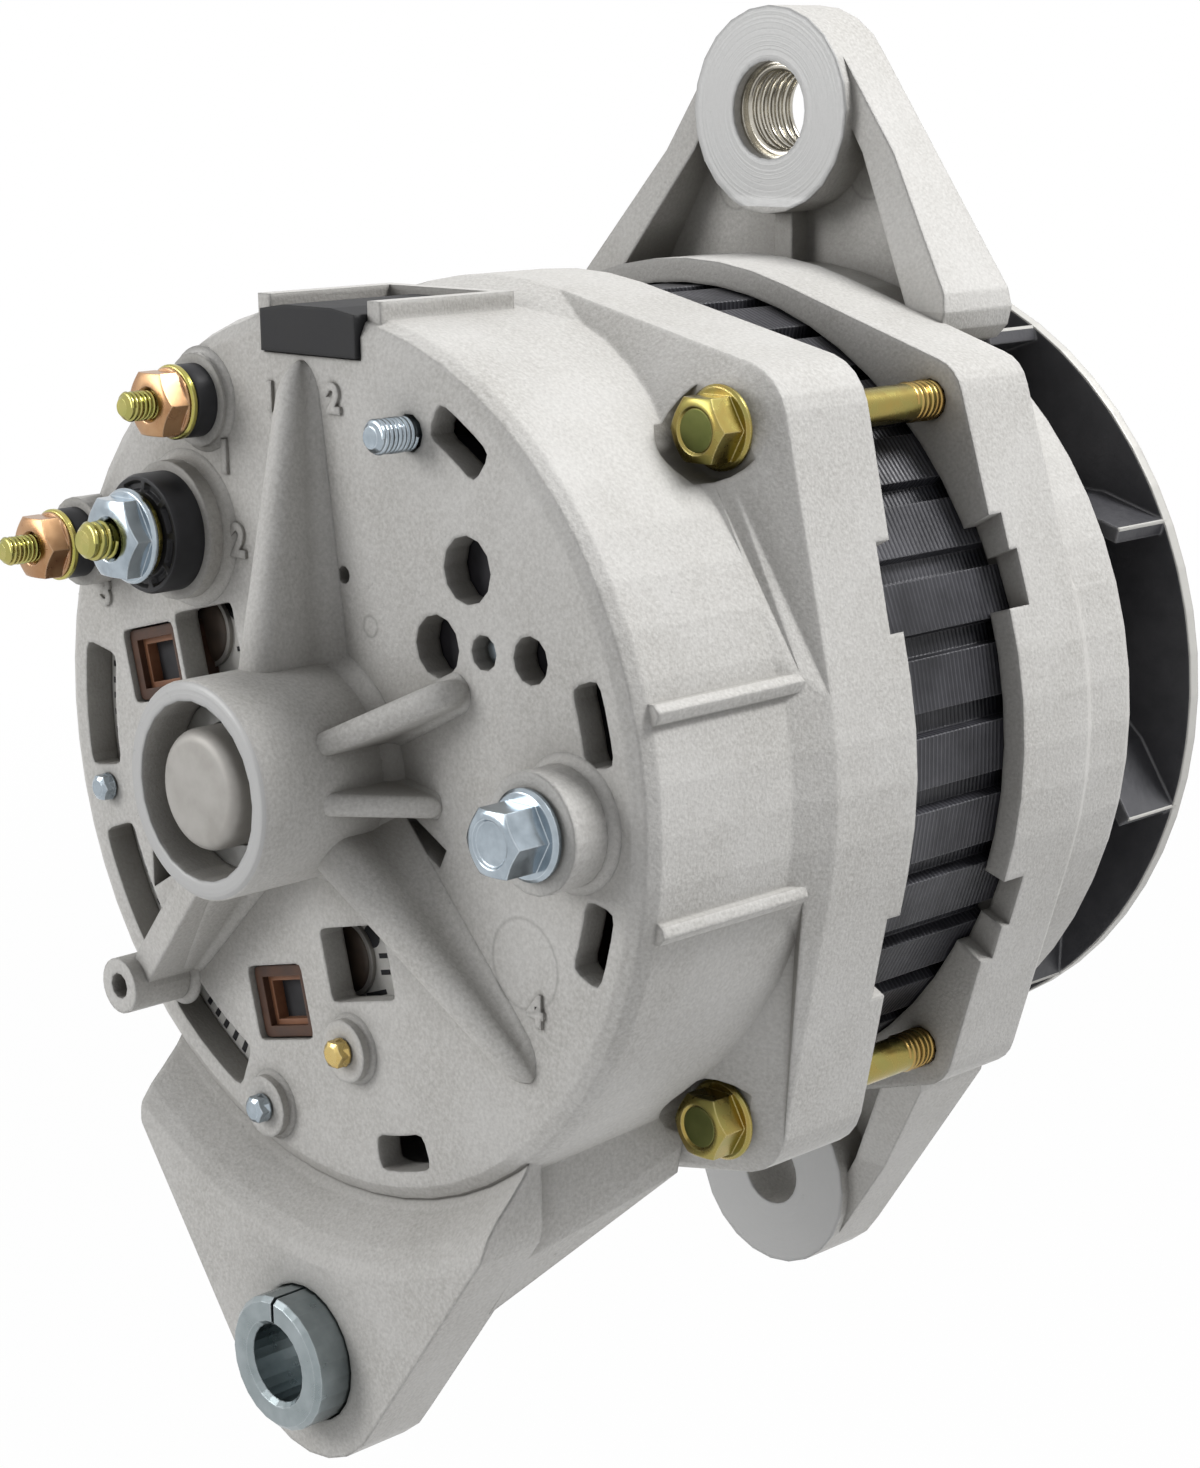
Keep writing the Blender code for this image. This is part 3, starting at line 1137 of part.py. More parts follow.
def terminal(prefix, place, boss, insulator, stud, nut, finishes):
    """An insulated stud terminal: collar through the casting, stud and nut."""
    stud_radius, stud_reach = stud
    collar_radius, collar_height = insulator
    seat = -boss[1] - GAP
    back = seat - collar_height
    end = PLATE_THICK + ROOT
    neck = stud_radius + COLLAR_MARGIN
    inner = stud_radius + GAP
    x, z = place
    profile = [(inner, back), (collar_radius - STUD_EDGE, back), (collar_radius, back + STUD_EDGE),
               (collar_radius, seat), (neck, seat), (neck, end), (inner, end)]
    solid(f"{prefix}_insulator", turned(profile, SMALL_STEPS), finishes[0], (x, 0, z))
    foot = end + GAP
    bar = [(0, -stud_reach), (stud_radius - STUD_EDGE, -stud_reach), (stud_radius, -stud_reach + STUD_EDGE),
           (stud_radius, foot), (neck, foot), (neck, foot + STUD_FOOT), (0, foot + STUD_FOOT)]
    solid(f"{prefix}_stud", turned(bar, SMALL_STEPS), finishes[1], (x, 0, z))
    flange_nut(f"{prefix}_nut", nut, inner, (x, back - GAP, z), finishes[2])


def terminals():
    """The battery terminal and the two signal terminals."""
    terminal("battery", on_face(BATTERY_SHARES), BATTERY_BOSS, BATTERY_INSULATOR, BATTERY_STUD, BATTERY_NUT,
             ("black_plastic", "brass", "white_zinc"))
    terminal("indicator", on_face(INDICATOR_SHARES), SIGNAL_BOSS, SIGNAL_INSULATOR, SIGNAL_STUD, SIGNAL_NUT,
             ("black_plastic", "brass", "brass"))
    terminal("relay", on_face(RELAY_SHARES), RELAY_BOSS, SIGNAL_INSULATOR, RELAY_STUD, SIGNAL_NUT,
             ("black_plastic", "brass", "yellow_zinc"))


def face_screws():
    """The ground screw, the small screws of the rear face and the bare stud."""
    x, z = on_face(GROUND_SHARES)
    screw_at("ground_screw", GROUND_SCREW, GROUND_SCREW_LENGTH, (x, -GROUND_BOSS_HEIGHT - GAP, z), "white_zinc")
    for name, (across, up, raised) in SCREW_SHARES.items():
        x, z = on_face((across, up))
        finish = "brass" if name.startswith("brass") else "white_zinc"
        seat = -raised * SCREW_BOSS_HEIGHT - GAP
        length = PLATE_THICK + raised * SCREW_BOSS_HEIGHT
        screw_at(name, SMALL_SCREW, length, (x, seat, z), finish)
    x, z = on_face(SUNK_SCREW_SHARES)
    screw_at("rectifier_screw", SMALL_SCREW, RECTIFIER_THICK, (x, PLATE_THICK, z), "white_zinc")
    radius, reach = COVER_STUD
    x, z = on_face(COVER_STUD_SHARES)
    bar = rod(radius, -reach, PLATE_THICK, TINY_STEPS, STUD_EDGE)
    solid("cover_stud", bar, "white_zinc", (x, 0, z))


def through_bolts():
    """The four long bolts that clamp the two castings on the stator."""
    for number, (x, z) in enumerate(bolt_places(), 1):
        screw_at(f"through_bolt_{number}", THROUGH_BOLT, THROUGH_BOLT_LENGTH,
                 (x, BOLT_SEAT - GAP, z), "yellow_zinc")


def brush_gear():
    """The holder over the slip rings, with two carbon brushes and their springs."""
    start = PLATE_THICK + GAP
    outline = [(start, HOLDER_BOTTOM), (HOLDER_END, HOLDER_BOTTOM), (HOLDER_END, HOLDER_TOP), (start, HOLDER_TOP)]
    holder = solid("brush_holder", side_prism(outline, HOLDER_HALF_WIDTH), "brown_plastic")
    brush_base = RING_RADIUS + GAP
    half = BRUSH_HALF + GAP
    for name, station in zip(("rear", "front"), RING_STATIONS):
        low = HOLDER_BOTTOM - OVERRUN
        high = HOLDER_TOP - HOLDER_CAP
        channel = [(station - half, low), (station + half, low), (station + half, high), (station - half, high)]
        cut(holder, side_prism(channel, half))
        middle = brush_base + BRUSH_LENGTH / 2
        block = [(-BRUSH_HALF, -BRUSH_LENGTH / 2), (BRUSH_HALF, -BRUSH_LENGTH / 2),
                 (BRUSH_HALF, BRUSH_LENGTH / 2), (-BRUSH_HALF, BRUSH_LENGTH / 2)]
        solid(f"brush_{name}", side_prism(block, BRUSH_HALF), "carbon", (0, station, middle))
        spring_low = brush_base + BRUSH_LENGTH + GAP
        coil = spring(high - GAP - spring_low)
        solid(f"brush_spring_{name}", coil, "machined_steel", (0, station, spring_low))


def spring(height):
    """A compression spring that stands on the origin, as one bent wire."""
    bm = bmesh.new()
    steps = SPRING_TURNS * SPRING_STEPS
    rings = []
    for step in range(steps + 1):
        angle = math.tau * step / SPRING_STEPS
        rise = SPRING_WIRE + (height - 2 * SPRING_WIRE) * step / steps
        out = Vector((math.cos(angle), math.sin(angle), 0))
        centre = out * SPRING_RADIUS + Vector((0, 0, rise))
        ring = []
        for corner in range(4):
            turn_angle = math.tau * corner / 4
            ring.append(bm.verts.new(centre + out * SPRING_WIRE * math.cos(turn_angle)
                                     + Vector((0, 0, SPRING_WIRE * math.sin(turn_angle)))))
        rings.append(ring)
    for lower, upper in zip(rings, rings[1:]):
        for index in range(4):
            after = (index + 1) % 4
            bm.faces.new((lower[index], lower[after], upper[after], upper[index]))
    bm.faces.new(rings[0][::-1])
    bm.faces.new(rings[-1])
    bmesh.ops.recalc_face_normals(bm, faces=bm.faces)
    return bm


def rectifier():
    """The heat-sink shelf with its pressed-in diodes, on the right of the rear face."""
    start = PLATE_THICK + GAP
    end = start + RECTIFIER_THICK
    shelf = sector(SHELF_INNER, SHELF_OUTER, *RECTIFIER_ANGLES, 8)
    item = solid("rectifier_bridge", prism(shelf, start, end), "cast_aluminium")
    for angle in DIODE_ANGLES:
        can = rod(DIODE_RADIUS, end - ROOT, end + DIODE_HEIGHT, TINY_STEPS)
        add(item, moved(can, polar(DIODE_RING, angle)))
    hole = rod(SMALL_SCREW[0] + GAP, start - OVERRUN, end + OVERRUN, TINY_STEPS)
    cut(item, moved(hole, on_face(SUNK_SCREW_SHARES)))
    cut(item, moved(rod(COVER_STUD[0] + GAP, start - OVERRUN, end + OVERRUN, TINY_STEPS),
                    on_face(COVER_STUD_SHARES)))
    cut(item, moved(rod(GROUND_SCREW[0] + GAP, start - OVERRUN, end + OVERRUN, TINY_STEPS),
                    on_face(GROUND_SHARES)))


def regulator():
    """The regulator on the left of the rear face, with its feet, sockets and the diode trio behind it."""
    start = REGULATOR_START
    end = start + REGULATOR_THICK
    item = solid("voltage_regulator", prism(sector(SHELF_INNER, SHELF_OUTER, *REGULATOR_ANGLES, 12), start, end),
                 "black_plastic")
    for share, angle in REGULATOR_FOOT_SHARES:
        foot = rod(REGULATOR_FOOT_RADIUS, PLATE_THICK + GAP, start + ROOT, TINY_STEPS)
        add(item, moved(foot, polar(SHELF_OUTER * share, angle)))
    for number, shares in enumerate(SOCKET_SHARES, 1):
        width, height = SOCKET_WINDOW_HALF
        outer = rectangle(width - GAP, height - GAP, on_face(shares), WINDOW_TURN)
        outer = eased(outer, range(4), WINDOW_CORNER)
        socket = solid(f"regulator_socket_{number}", prism(outer, SOCKET_PROUD, start - GAP), "brown_plastic")
        hollow = rectangle(width - GAP - SOCKET_WALL, height - GAP - SOCKET_WALL, on_face(shares), WINDOW_TURN)
        cut(socket, prism(hollow, SOCKET_PROUD - OVERRUN, start - GAP - SOCKET_WALL))
    trio = sector(TRIO_INNER, SHELF_OUTER - COLLAR_MARGIN, *TRIO_ANGLES, 4)
    solid("diode_trio", prism(trio, end + GAP, end + GAP + TRIO_THICK), "machined_steel")


def capacitor():
    """The suppression capacitor on the inside of the rear face."""
    start = PLATE_THICK + GAP
    can = rod(CAPACITOR_RADIUS, start, start + CAPACITOR_LENGTH, SMALL_STEPS, CAPACITOR_EDGE)
    x, z = on_face(CAPACITOR_SHARES)
    solid("capacitor", can, "machined_steel", (x, 0, z))


def rubber_plug():
    """The crowned plug that fills the pocket at the top of the drum."""
    half = PLUG_HALF_WIDTH
    outline = [(-half, PLUG_BOTTOM), (half, PLUG_BOTTOM), (half, PLUG_TOP - PLUG_CROWN),
               (half / 2, PLUG_TOP), (-half / 2, PLUG_TOP), (-half, PLUG_TOP - PLUG_CROWN)]
    solid("rubber_plug", prism(outline, -PLUG_START, PLUG_LENGTH), "black_rubber")


def hinge_bushing():
    """The split steel bushing that slides in the rear lug to take up the hinge gap."""
    back = -REAR_LUG_BACK - BUSHING_PROUD
    front = REAR_LUG_FRONT - GAP
    outer, bore, edge = BUSHING_RADIUS, HINGE_BOLT_RADIUS, BUSHING_EDGE
    profile = [(bore + edge, back), (outer - edge, back), (outer, back + edge), (outer, front),
               (bore, front), (bore, back + edge)]
    item = solid("hinge_bushing", turned(profile, MID_STEPS), "white_zinc", (0, 0, -HINGE_DROP))
    slit = rectangle(BUSHING_SLIT / 2, outer, (0, outer))
    cut(item, prism(slit, back - OVERRUN, front + OVERRUN))


def ear_insert():
    """The threaded steel insert of the adjusting ear."""
    start = EAR_STATION + INSERT_SETBACK
    end = EAR_STATION + EAR_DEPTH - INSERT_SETBACK
    profile = [(INSERT_BORE + INSERT_EDGE, start), (INSERT_RADIUS, start), (INSERT_RADIUS, end),
               (INSERT_BORE, end), (INSERT_BORE, start + INSERT_EDGE)]
    solid("ear_insert", turned(profile, MID_STEPS), "machined_steel", (0, 0, EAR_RISE))


def fan():
    """The cooling fan: dished disc, hub and swept blades at uneven turns."""
    back, front = FAN_STATION, FAN_STATION + FAN_THICK
    hub_back = back - FAN_HUB_BACK
    profile = [(FAN_BORE, hub_back), (FAN_HUB_RADIUS, hub_back), (FAN_DISH_RADIUS, back), (FAN_RADIUS, back),
               (FAN_RADIUS, front), (FAN_DISH_RADIUS, front), (FAN_HUB_RADIUS, front - FAN_THICK / 2),
               (FAN_BORE, front - FAN_THICK / 2)]
    item = solid("fan", turned(profile, FINE_STEPS), "fan_black")
    for share in BLADE_TURN_SHARES:
        outline = blade_outline(360 * share)
        add(item, prism(outline, back - BLADE_HEIGHT, back + ROOT))
    return item


def blade_outline(angle):
    """A swept blade seen along the shaft, as thick at its tip as at its root."""
    middle = [Vector(polar(FAN_RADIUS * share, angle + sweep))
              for share, sweep in zip(BLADE_RADIUS_SHARES, BLADE_SWEEP)]
    left, right = [], []
    for index, point in enumerate(middle):
        before = middle[max(index - 1, 0)]
        after = middle[min(index + 1, len(middle) - 1)]
        along = (after - before).normalized()
        across = Vector((-along.y, along.x)) * BLADE_THICK / 2
        left.append(tuple(point + across))
        right.append(tuple(point - across))
    return left + right[::-1]


def nose_hardware():
    """Spacer, washer and nut on the shaft's nose."""
    bore = SEAT_RADIUS + GAP
    start = bearing_station() + FRONT_BEARING_WIDTH
    fan_back = FAN_STATION - FAN_HUB_BACK
    solid("fan_spacer", tube(bore, SPACER_RADIUS, start, fan_back - GAP, MID_STEPS), "machined_steel")
    washer_start = FAN_STATION + FAN_THICK / 2 + GAP
    washer_end = washer_start + WASHER_THICK
    solid("fan_washer", tube(bore, WASHER_RADIUS, washer_start, washer_end, MID_STEPS), "machined_steel")
    across, height = SHAFT_NUT
    nut_start = washer_end + GAP
    item = solid("shaft_nut", prism(hexagon(across), nut_start, nut_start + height), "machined_steel")
    cut(item, rod(SEAT_RADIUS + GAP, nut_start - OVERRUN, nut_start + height + OVERRUN, MID_STEPS))


def build():
    """Make every piece, hang them on the shaft line and finish the shading."""
    clear_scene()
    rear_frame()
    drive_frame()
    stator_core()
    stator_winding()
    rotor_shaft()
    claw(POLE_START, POLE_START + POLE_LENGTH, 1, "rear_pole_segment")
    claw(POLE_START + POLE_LENGTH, POLE_START, -1, "front_pole_segment")
    field_coil()
    slip_rings()
    bearings()
    fan()
    nose_hardware()
    through_bolts()
    terminals()
    face_screws()
    brush_gear()
    rectifier()
    regulator()
    capacitor()
    rubber_plug()
    hinge_bushing()
    ear_insert()
    carrier = shaft_line()
    for item in list(bpy.data.objects):
        if item.type == "MESH":
            tidy(item)
            finish_shading(item)
            item.parent = carrier


build()
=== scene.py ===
import json
import math

import bmesh
import bpy
from mathutils import Matrix, Vector


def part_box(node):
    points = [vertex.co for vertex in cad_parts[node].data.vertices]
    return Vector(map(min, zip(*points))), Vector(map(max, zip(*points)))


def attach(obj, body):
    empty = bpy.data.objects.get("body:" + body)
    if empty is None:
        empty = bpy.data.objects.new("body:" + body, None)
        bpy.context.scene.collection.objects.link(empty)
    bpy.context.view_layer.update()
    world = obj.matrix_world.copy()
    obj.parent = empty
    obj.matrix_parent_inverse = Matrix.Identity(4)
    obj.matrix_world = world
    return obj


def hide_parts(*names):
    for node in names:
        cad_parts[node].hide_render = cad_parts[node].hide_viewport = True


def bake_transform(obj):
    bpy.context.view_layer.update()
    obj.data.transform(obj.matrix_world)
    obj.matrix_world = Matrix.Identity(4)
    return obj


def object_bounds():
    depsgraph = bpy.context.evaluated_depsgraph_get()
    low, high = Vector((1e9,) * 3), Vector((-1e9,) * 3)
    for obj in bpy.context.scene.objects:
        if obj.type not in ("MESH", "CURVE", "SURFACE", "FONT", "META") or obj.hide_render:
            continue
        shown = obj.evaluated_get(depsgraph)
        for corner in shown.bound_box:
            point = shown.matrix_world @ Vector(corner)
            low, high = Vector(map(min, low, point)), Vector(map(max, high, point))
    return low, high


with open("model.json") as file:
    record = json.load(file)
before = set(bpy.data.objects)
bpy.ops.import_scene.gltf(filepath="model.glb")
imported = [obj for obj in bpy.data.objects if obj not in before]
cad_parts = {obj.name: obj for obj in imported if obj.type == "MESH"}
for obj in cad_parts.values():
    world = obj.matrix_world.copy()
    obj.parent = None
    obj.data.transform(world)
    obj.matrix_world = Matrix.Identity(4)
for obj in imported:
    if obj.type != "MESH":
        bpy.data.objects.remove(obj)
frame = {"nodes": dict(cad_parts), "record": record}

# Where the shaft line lies in the frame, which stands on the hinge bolt's axis
REAR_FACE_STATION = -0.053
SHAFT_HEIGHT = 0.0958
SHAFT_ORIGIN = Vector((0, REAR_FACE_STATION, SHAFT_HEIGHT))
EAR_RISE = 0.0972
EAR_STATION = 0.1010
DRIVE_LUG_STATION = 0.1020
HUB_END = -0.0248
DRUM_RADIUS = 0.0705
# Radius beyond which the fan's rim edge is painted with a pale highlight
FAN_STATION = 0.1300
FAN_HIGHLIGHT_RADIUS = 0.0697
FAN_SEARCH = 0.0400

# Camera, fitted to the photograph's view
CAMERA_AZIMUTH = math.radians(46.052)
CAMERA_ELEVATION = math.radians(12.925)
CAMERA_ROLL = math.radians(-0.694)
CAMERA_LENS = 87.175
CAMERA_SENSOR = 36.0
CAMERA_DISTANCE = 0.481122
CAMERA_TARGET = Vector((0, 0.045, 0))
CAMERA_ASIDE = 0.010225
CAMERA_RISE = -0.002958
CAMERA_NEAR = 0.01
CAMERA_FAR = 20.0

# Floor, backdrop and lamps: the floor's glow runs up to full between two distances
FLOOR_DROP = 0.25
FLOOR_SIZE = 6.0
WHITE = (1.0, 1.0, 1.0, 1.0)
FLOOR_COLOUR = (0.80, 0.80, 0.80, 1.0)
FLOOR_ROUGHNESS = 0.9
FLOOR_GLOW_SHARE = 0.96
FLOOR_FADE = (0.5, 1.8)
SKY_COLOUR = (0.96, 0.97, 1.0, 1.0)
SKY_LOW = 0.05
SKY_HIGH = 0.40
SKY_BAND = (-0.5, 0.8)
# Name, place, aimed at, side of the square, power
LAMPS = (
    ("key_softbox", (0.56, 0.48, 1.12), (0, 0, 0.10), 0.42, 18.0),
    ("front_softbox", (-0.55, -0.80, 0.42), (0, 0, 0.06), 0.50, 5.2),
)

# Colours of the castings
CAST_LOW = (0.415, 0.403, 0.379, 1)
CAST_HIGH = (0.500, 0.490, 0.470, 1)
# Pale colour of the grain's specks, also painted on the castings' edges as a highlight
CAST_GLINT = (0.655, 0.645, 0.620, 1)
CAST_CUT = (0.455, 0.455, 0.450, 1)
CAST_DIRT = (0.150, 0.145, 0.135, 1)
# Colour of the painted shade in corners and holes
CAST_SHADE = (0.200, 0.190, 0.172, 1)
# Shares of each effect on the castings' colour and height, and ranges from as cast to machined
GLINT_SHARE = 0.62
# Share of the painted highlight on the castings' edges
EDGE_HIGHLIGHT_SHARE = 0.30
# Share of the painted shade in corners and holes
CREVICE_SHADE_SHARE = 0.90
PIN_MARK_SHARE = 0.28
SCUFF_SHARE = 0.40
RING_SHARE = 0.35
PIN_LINE_SHARE = 0.8
CAST_METALLIC = (0.05, 0.30)
CAST_GRAIN_SHARES = (0.6, 0.08)
CAST_ROUGHNESS = 0.56
CAST_SPREAD = 0.10
CUT_SPREAD = 0.14
CAST_BUMP = 0.60

# Colours and ranges of the stator's varnish
STATOR_LOW = (0.013, 0.013, 0.016, 1)
STATOR_HIGH = (0.046, 0.046, 0.056, 1)
STATOR_LINE = (0.11, 0.11, 0.122, 1)
STATOR_WORN = (0.18, 0.18, 0.19, 1)
STATOR_ROUGHNESS = (0.36, 0.52)
STATOR_COAT = (0.05, 0.22)
WEAR_SHARE = 0.6
LINE_SHARE = 0.15
SHEET_BAND = (0.3, 1.0)
STATOR_GRAIN_SHARE = 0.7
STATOR_BUMP = 0.7

# Colours and ranges of the fan's paint
FAN_LOW = (0.056, 0.056, 0.062, 1)
FAN_HIGH = (0.074, 0.074, 0.080, 1)
FAN_WORN = (0.24, 0.24, 0.25, 1)
# Pale painted highlight on the edge of the fan's rim
FAN_RIM_HIGHLIGHT = (0.52, 0.51, 0.48, 1)
FAN_ROUGHNESS = (0.38, 0.50)
FAN_BUMP = 0.4

# Screw threads: how many faces round a turn, and each thread's pitch
THREAD_SIDES = 40
THREAD_DEPTH_SHARE = 0.48
COARSE_PITCH = 0.00125
FINE_PITCH = 0.00080
BOLT_PITCH = 0.00115
BOLT_THREAD_SPAN = (0.0738, 0.0812)
RIDGE_SIDES = 4
# Brush springs: wire, middle radius, turns
WIRE_SIDES = 8
SPRING_WIRE = 0.00035
SPRING_RADIUS = 0.0016
SPRING_TURNS = 8
# Wire coil of the ear: middle radius, wire, pitch, and the sleeve that it sits in
COIL_RADIUS = 0.0075
COIL_WIRE = 0.0009
COIL_PITCH = 0.0019
COIL_SETBACK = 0.0010
COIL_PROUD = 0.0022
SLEEVE_RADII = (0.0078, 0.0083)

# Studs, nuts, washers and insulators of the terminals: crest radius and pitch of each stud
ROUND_STEPS = 48
TIP_EDGE = 0.0007
STUD_SHAPES = {"battery_stud": (0.0032, COARSE_PITCH), "indicator_stud": (0.0024, FINE_PITCH),
               "relay_stud": (0.0024, FINE_PITCH), "cover_stud": (0.0027, FINE_PITCH)}
STUD_FINISHES = {"battery_stud": "stud_brass", "indicator_stud": "stud_brass", "relay_stud": "stud_brass",
                 "cover_stud": "white_zinc"}
# Each nut: across flats, bore, flange radius and thickness, its washer's radius and thickness, and how
# far it stops short
NUT_SHAPES = {"battery_nut": (0.0122, 0.0031, 0.0076, 0.0013, 0.0066, 0.0014, 0.0020),
              "indicator_nut": (0.0098, 0.0023, 0.0055, 0.0006, 0.0059, 0.0012, 0.0002),
              "relay_nut": (0.0098, 0.0023, 0.0055, 0.0006, 0.0059, 0.0012, 0.0002)}
NUT_FINISHES = {"battery_nut": "white_zinc", "indicator_nut": "copper_nut", "relay_nut": "copper_nut"}
CHAMFER_SHARE = 0.93
CHAMFER_SLOPE = math.tan(math.radians(30))
NUT_MOUTH = 0.0006
FLANGE_PARTS = 3
WASHER_PARTS = 4
# Bore and radius of each insulator, and the shares of its radius where the shallow ring round its face lies
INSULATOR_SHAPES = {"battery_insulator": (0.0045, 0.0096), "indicator_insulator": (0.0026, 0.0058),
                    "relay_insulator": (0.0026, 0.0058)}
INSULATOR_EDGE = 0.0008
INSULATOR_RING_SHARES = (0.90, 0.84, 0.76, 0.72)
INSULATOR_SINK = 0.0007
INSULATOR_RIBS = 9
INSULATOR_RIB_SHARE = 0.22
INSULATOR_STEPS = 108
WELD = 0.000001

# Bolts and screws: size across flats, head height, flange radius and height, shank radius, inset radius
# and depth
BOLT_COUNT = 4
THROUGH_BOLT = (0.0095, 0.0046, 0.0064, 0.0013, 0.0030, 0.0036, 0.0004)
GROUND_SCREW = (0.0095, 0.0062, 0.0068, 0.0017, 0.0030, 0.0036, 0.0004)
INSET_LIFT = 0.0001

# Shaft tail in the rear hub
TAIL_RADIUS = 0.00936
TAIL_ROUND = 0.0020
TAIL_LENGTH = 0.0180
TAIL_LIFT = 0.0001

# Fillets of the rear casting
BURIED = 0.0003
SHARP_LIMIT = math.radians(32)
FILLET_STEPS = 6
QUARTER_TURNS = [math.radians(90 * step / FILLET_STEPS) for step in range(FILLET_STEPS + 1)]
SMOOTH_LIMIT = math.radians(50)
# Place of each boss on the face, its radius and its root's
BOSS_ROOTS = (((0, 0), 0.0168, 0.0024), ((0.0552, 0.0002), 0.0090, 0.0014),
              ((-0.0330, 0.0335), 0.0112, 0.0016), ((-0.0278, 0.0545), 0.0074, 0.0010),
              ((-0.0412, -0.0425), 0.0047, 0.0012), ((-0.0165, -0.0600), 0.0051, 0.0008),
              ((0.0045, -0.0455), 0.0051, 0.0008))
WEB_START = 0.0150
WEB_SHARES = (0, 0.2, 0.4, 0.6, 0.8, 0.90, 0.94, 0.97, 0.99, 1.0)
WEB_BLUNT_SHARE = 0.88
WEB_CREST_SHARE = 0.9
WEB_ROOT_SHARE = 0.5
WEB_TIP_SHARE = 0.2
# Clock angle, reach, half width at the hub and at the end, rise at the hub and at the end, fillet at both
WEBS = ((92.4, 0.0622, 0.0034, 0.0022, 0.0150, 0.0034, 0.0040, 0.0014),
        (26.5, 0.0380, 0.0018, 0.0022, 0.0142, 0.0046, 0.0014, 0.0010),
        (-5.0, 0.0275, 0.0018, 0.0017, 0.0160, 0.0010, 0.0010, 0.0005),
        (-41.0, 0.0615, 0.0042, 0.0026, 0.0118, 0.0026, 0.0046, 0.0014),
        (226.0, 0.0575, 0.0028, 0.0027, 0.0142, 0.0040, 0.0024, 0.0010))
# Raised border where the ribbed panels of the drum end: clock angles, and (rise, station) pairs
PANEL_ANGLES = ((-12.6, 15.5), (164.5, 192.6))
PANEL_STEPS = 14
PANEL_PROFILE = ((-0.0004, 0.0318), (0.0001, 0.0321), (0.0009, 0.0330), (0.0012, 0.0340),
                 (0.0012, 0.0364), (-0.0004, 0.0375))

# Label on the regulator, behind the windows: sectors of a ring, thickness, and the marks on it
LABEL_FACE = 0.0079
LABEL_THICK = 0.0001
LABEL_SECTOR = (0.0250, 0.0578, 152.0, 283.0)
RIM_SECTOR = (0.0560, 0.0655, 168.0, 248.0)
RIM_FACE = 0.0054
LABEL_STEPS = 40
MARK_THICK = 0.0001
# Place across and up, half width, half height and turn of each printed bar
BARS = (((-0.0308, 0.0168), 0.0010, 0.0004, 14), ((-0.0300, 0.0148), 0.0004, 0.0014, 14),
        ((-0.0312, 0.0128), 0.0008, 0.0004, 14), ((0.0034, -0.0322), 0.0013, 0.0004, 14),
        ((0.0050, -0.0336), 0.0004, 0.0016, 14), ((0.0036, -0.0349), 0.0011, 0.0004, 14),
        ((0.0012, -0.0390), 0.0026, 0.0004, 20), ((-0.0036, -0.0282), 0.0014, 0.0005, 25))
# Clock angles of the rim's bars and of the arcs that join them
RIM_BAR_ANGLES = (172.0, 174.4, 177.0, 179.4, 182.0, 184.8, 187.4, 202.0, 204.4, 207.0, 209.6, 212.4,
                  215.0, 230.6, 233.0, 235.4, 238.0, 240.6, 243.0)
RIM_SPINES = (180.0, 208.5, 237.0)
# A bar's middle radius, half length and half width; an arc's radius, half width and half angle
RIM_BAR = (0.0620, 0.0021, 0.00050)
RIM_SPINE = (0.0600, 0.0005, 3.4)
# Domed discs: place, radius; how far they rise, and the shares of the radius where their rim lies
DISCS = (((-0.0392, 0.0150), 0.0064), ((-0.0052, -0.0342), 0.0066))
DISC_RISE = 0.0016
DISC_RING_SHARES = (0.98, 0.86)
# Printed dot: place, radius
DOTS = (((0.0004, -0.0296), 0.0019),)

# Sockets of the regulator: places, half width and height, frame, turn, front and how deep the mouth lies,
# where a black sheet paints the shade inside
SOCKETS = ((-0.0445, 0.0098), (-0.0138, -0.0420))
SOCKET_HALF = (0.0052, 0.0042)
SOCKET_FRAME = 0.0010
SOCKET_TURN = 14.0
SOCKET_FRONT = 0.0022
SOCKET_MOUTH = 0.0042

# Plain figures cast on the face: figure, place, height
FIGURES = (("1", (-0.0102, 0.0560), 0.0042), ("2", (0.0052, 0.0567), 0.0042),
           ("1", (-0.0224, 0.0456), 0.0050), ("2", (-0.0197, 0.0326), 0.0050),
           ("3", (-0.0570, 0.0201), 0.0046), ("4", (0.0475, -0.0296), 0.0046))
FIGURE_RISE = 0.00050
FIGURE_BOLD = 0.00032
FIGURE_CAP_SHARE = 0.7
FIGURE_CURVE_STEPS = 4

# Finishes: size of the grain, of its soft patches, of the rounded edges (a painted highlight on the
# castings, worn on the stator and fan), and height of the relief
CAST_TEXTURE = (0.00060, 0.018, 0.0011, 0.00020)
STATOR_TEXTURE = (0.0011, 0.012, 0.0004, 0.00006)
FAN_TEXTURE = (0.0009, 0.006, 0.0008, 0.00008)
METAL_TURN = 0.0004
METAL_PATCH = 0.004
METAL_RELIEF = 0.000004
# Reach of the search for the corners and holes that get painted shade
SHADE_REACH = 0.011
PLASTIC_GRAIN = 0.0006
SHARP_EDGE = 0.0003
SOFT_EDGE = 0.0008
THREAD_EDGE = 0.00004
SHEET_PITCH = 0.00095
TURNING_PITCH = 0.0006
SCUFF_SIZE = 0.0045
SCUFF_FINENESS = 9.0
METAL_SHEEN = 0.5
PLASTIC_SHEEN = 0.3
ROUGH_SPREAD = 0.10
METAL_BUMP = 0.3
# Levels between which each mask runs from nothing to full
SPECKLE_BAND = (0.30, 0.70)
CLOUD_BAND = (0.32, 0.68)
EDGE_BAND = (0.995, 0.80)
SHADE_BAND = (0.92, 0.30)
SPOT_BAND = (0.66, 0.74)
STROKE_BAND = (0.50, 0.62)
PIT_SHARE = 0.5
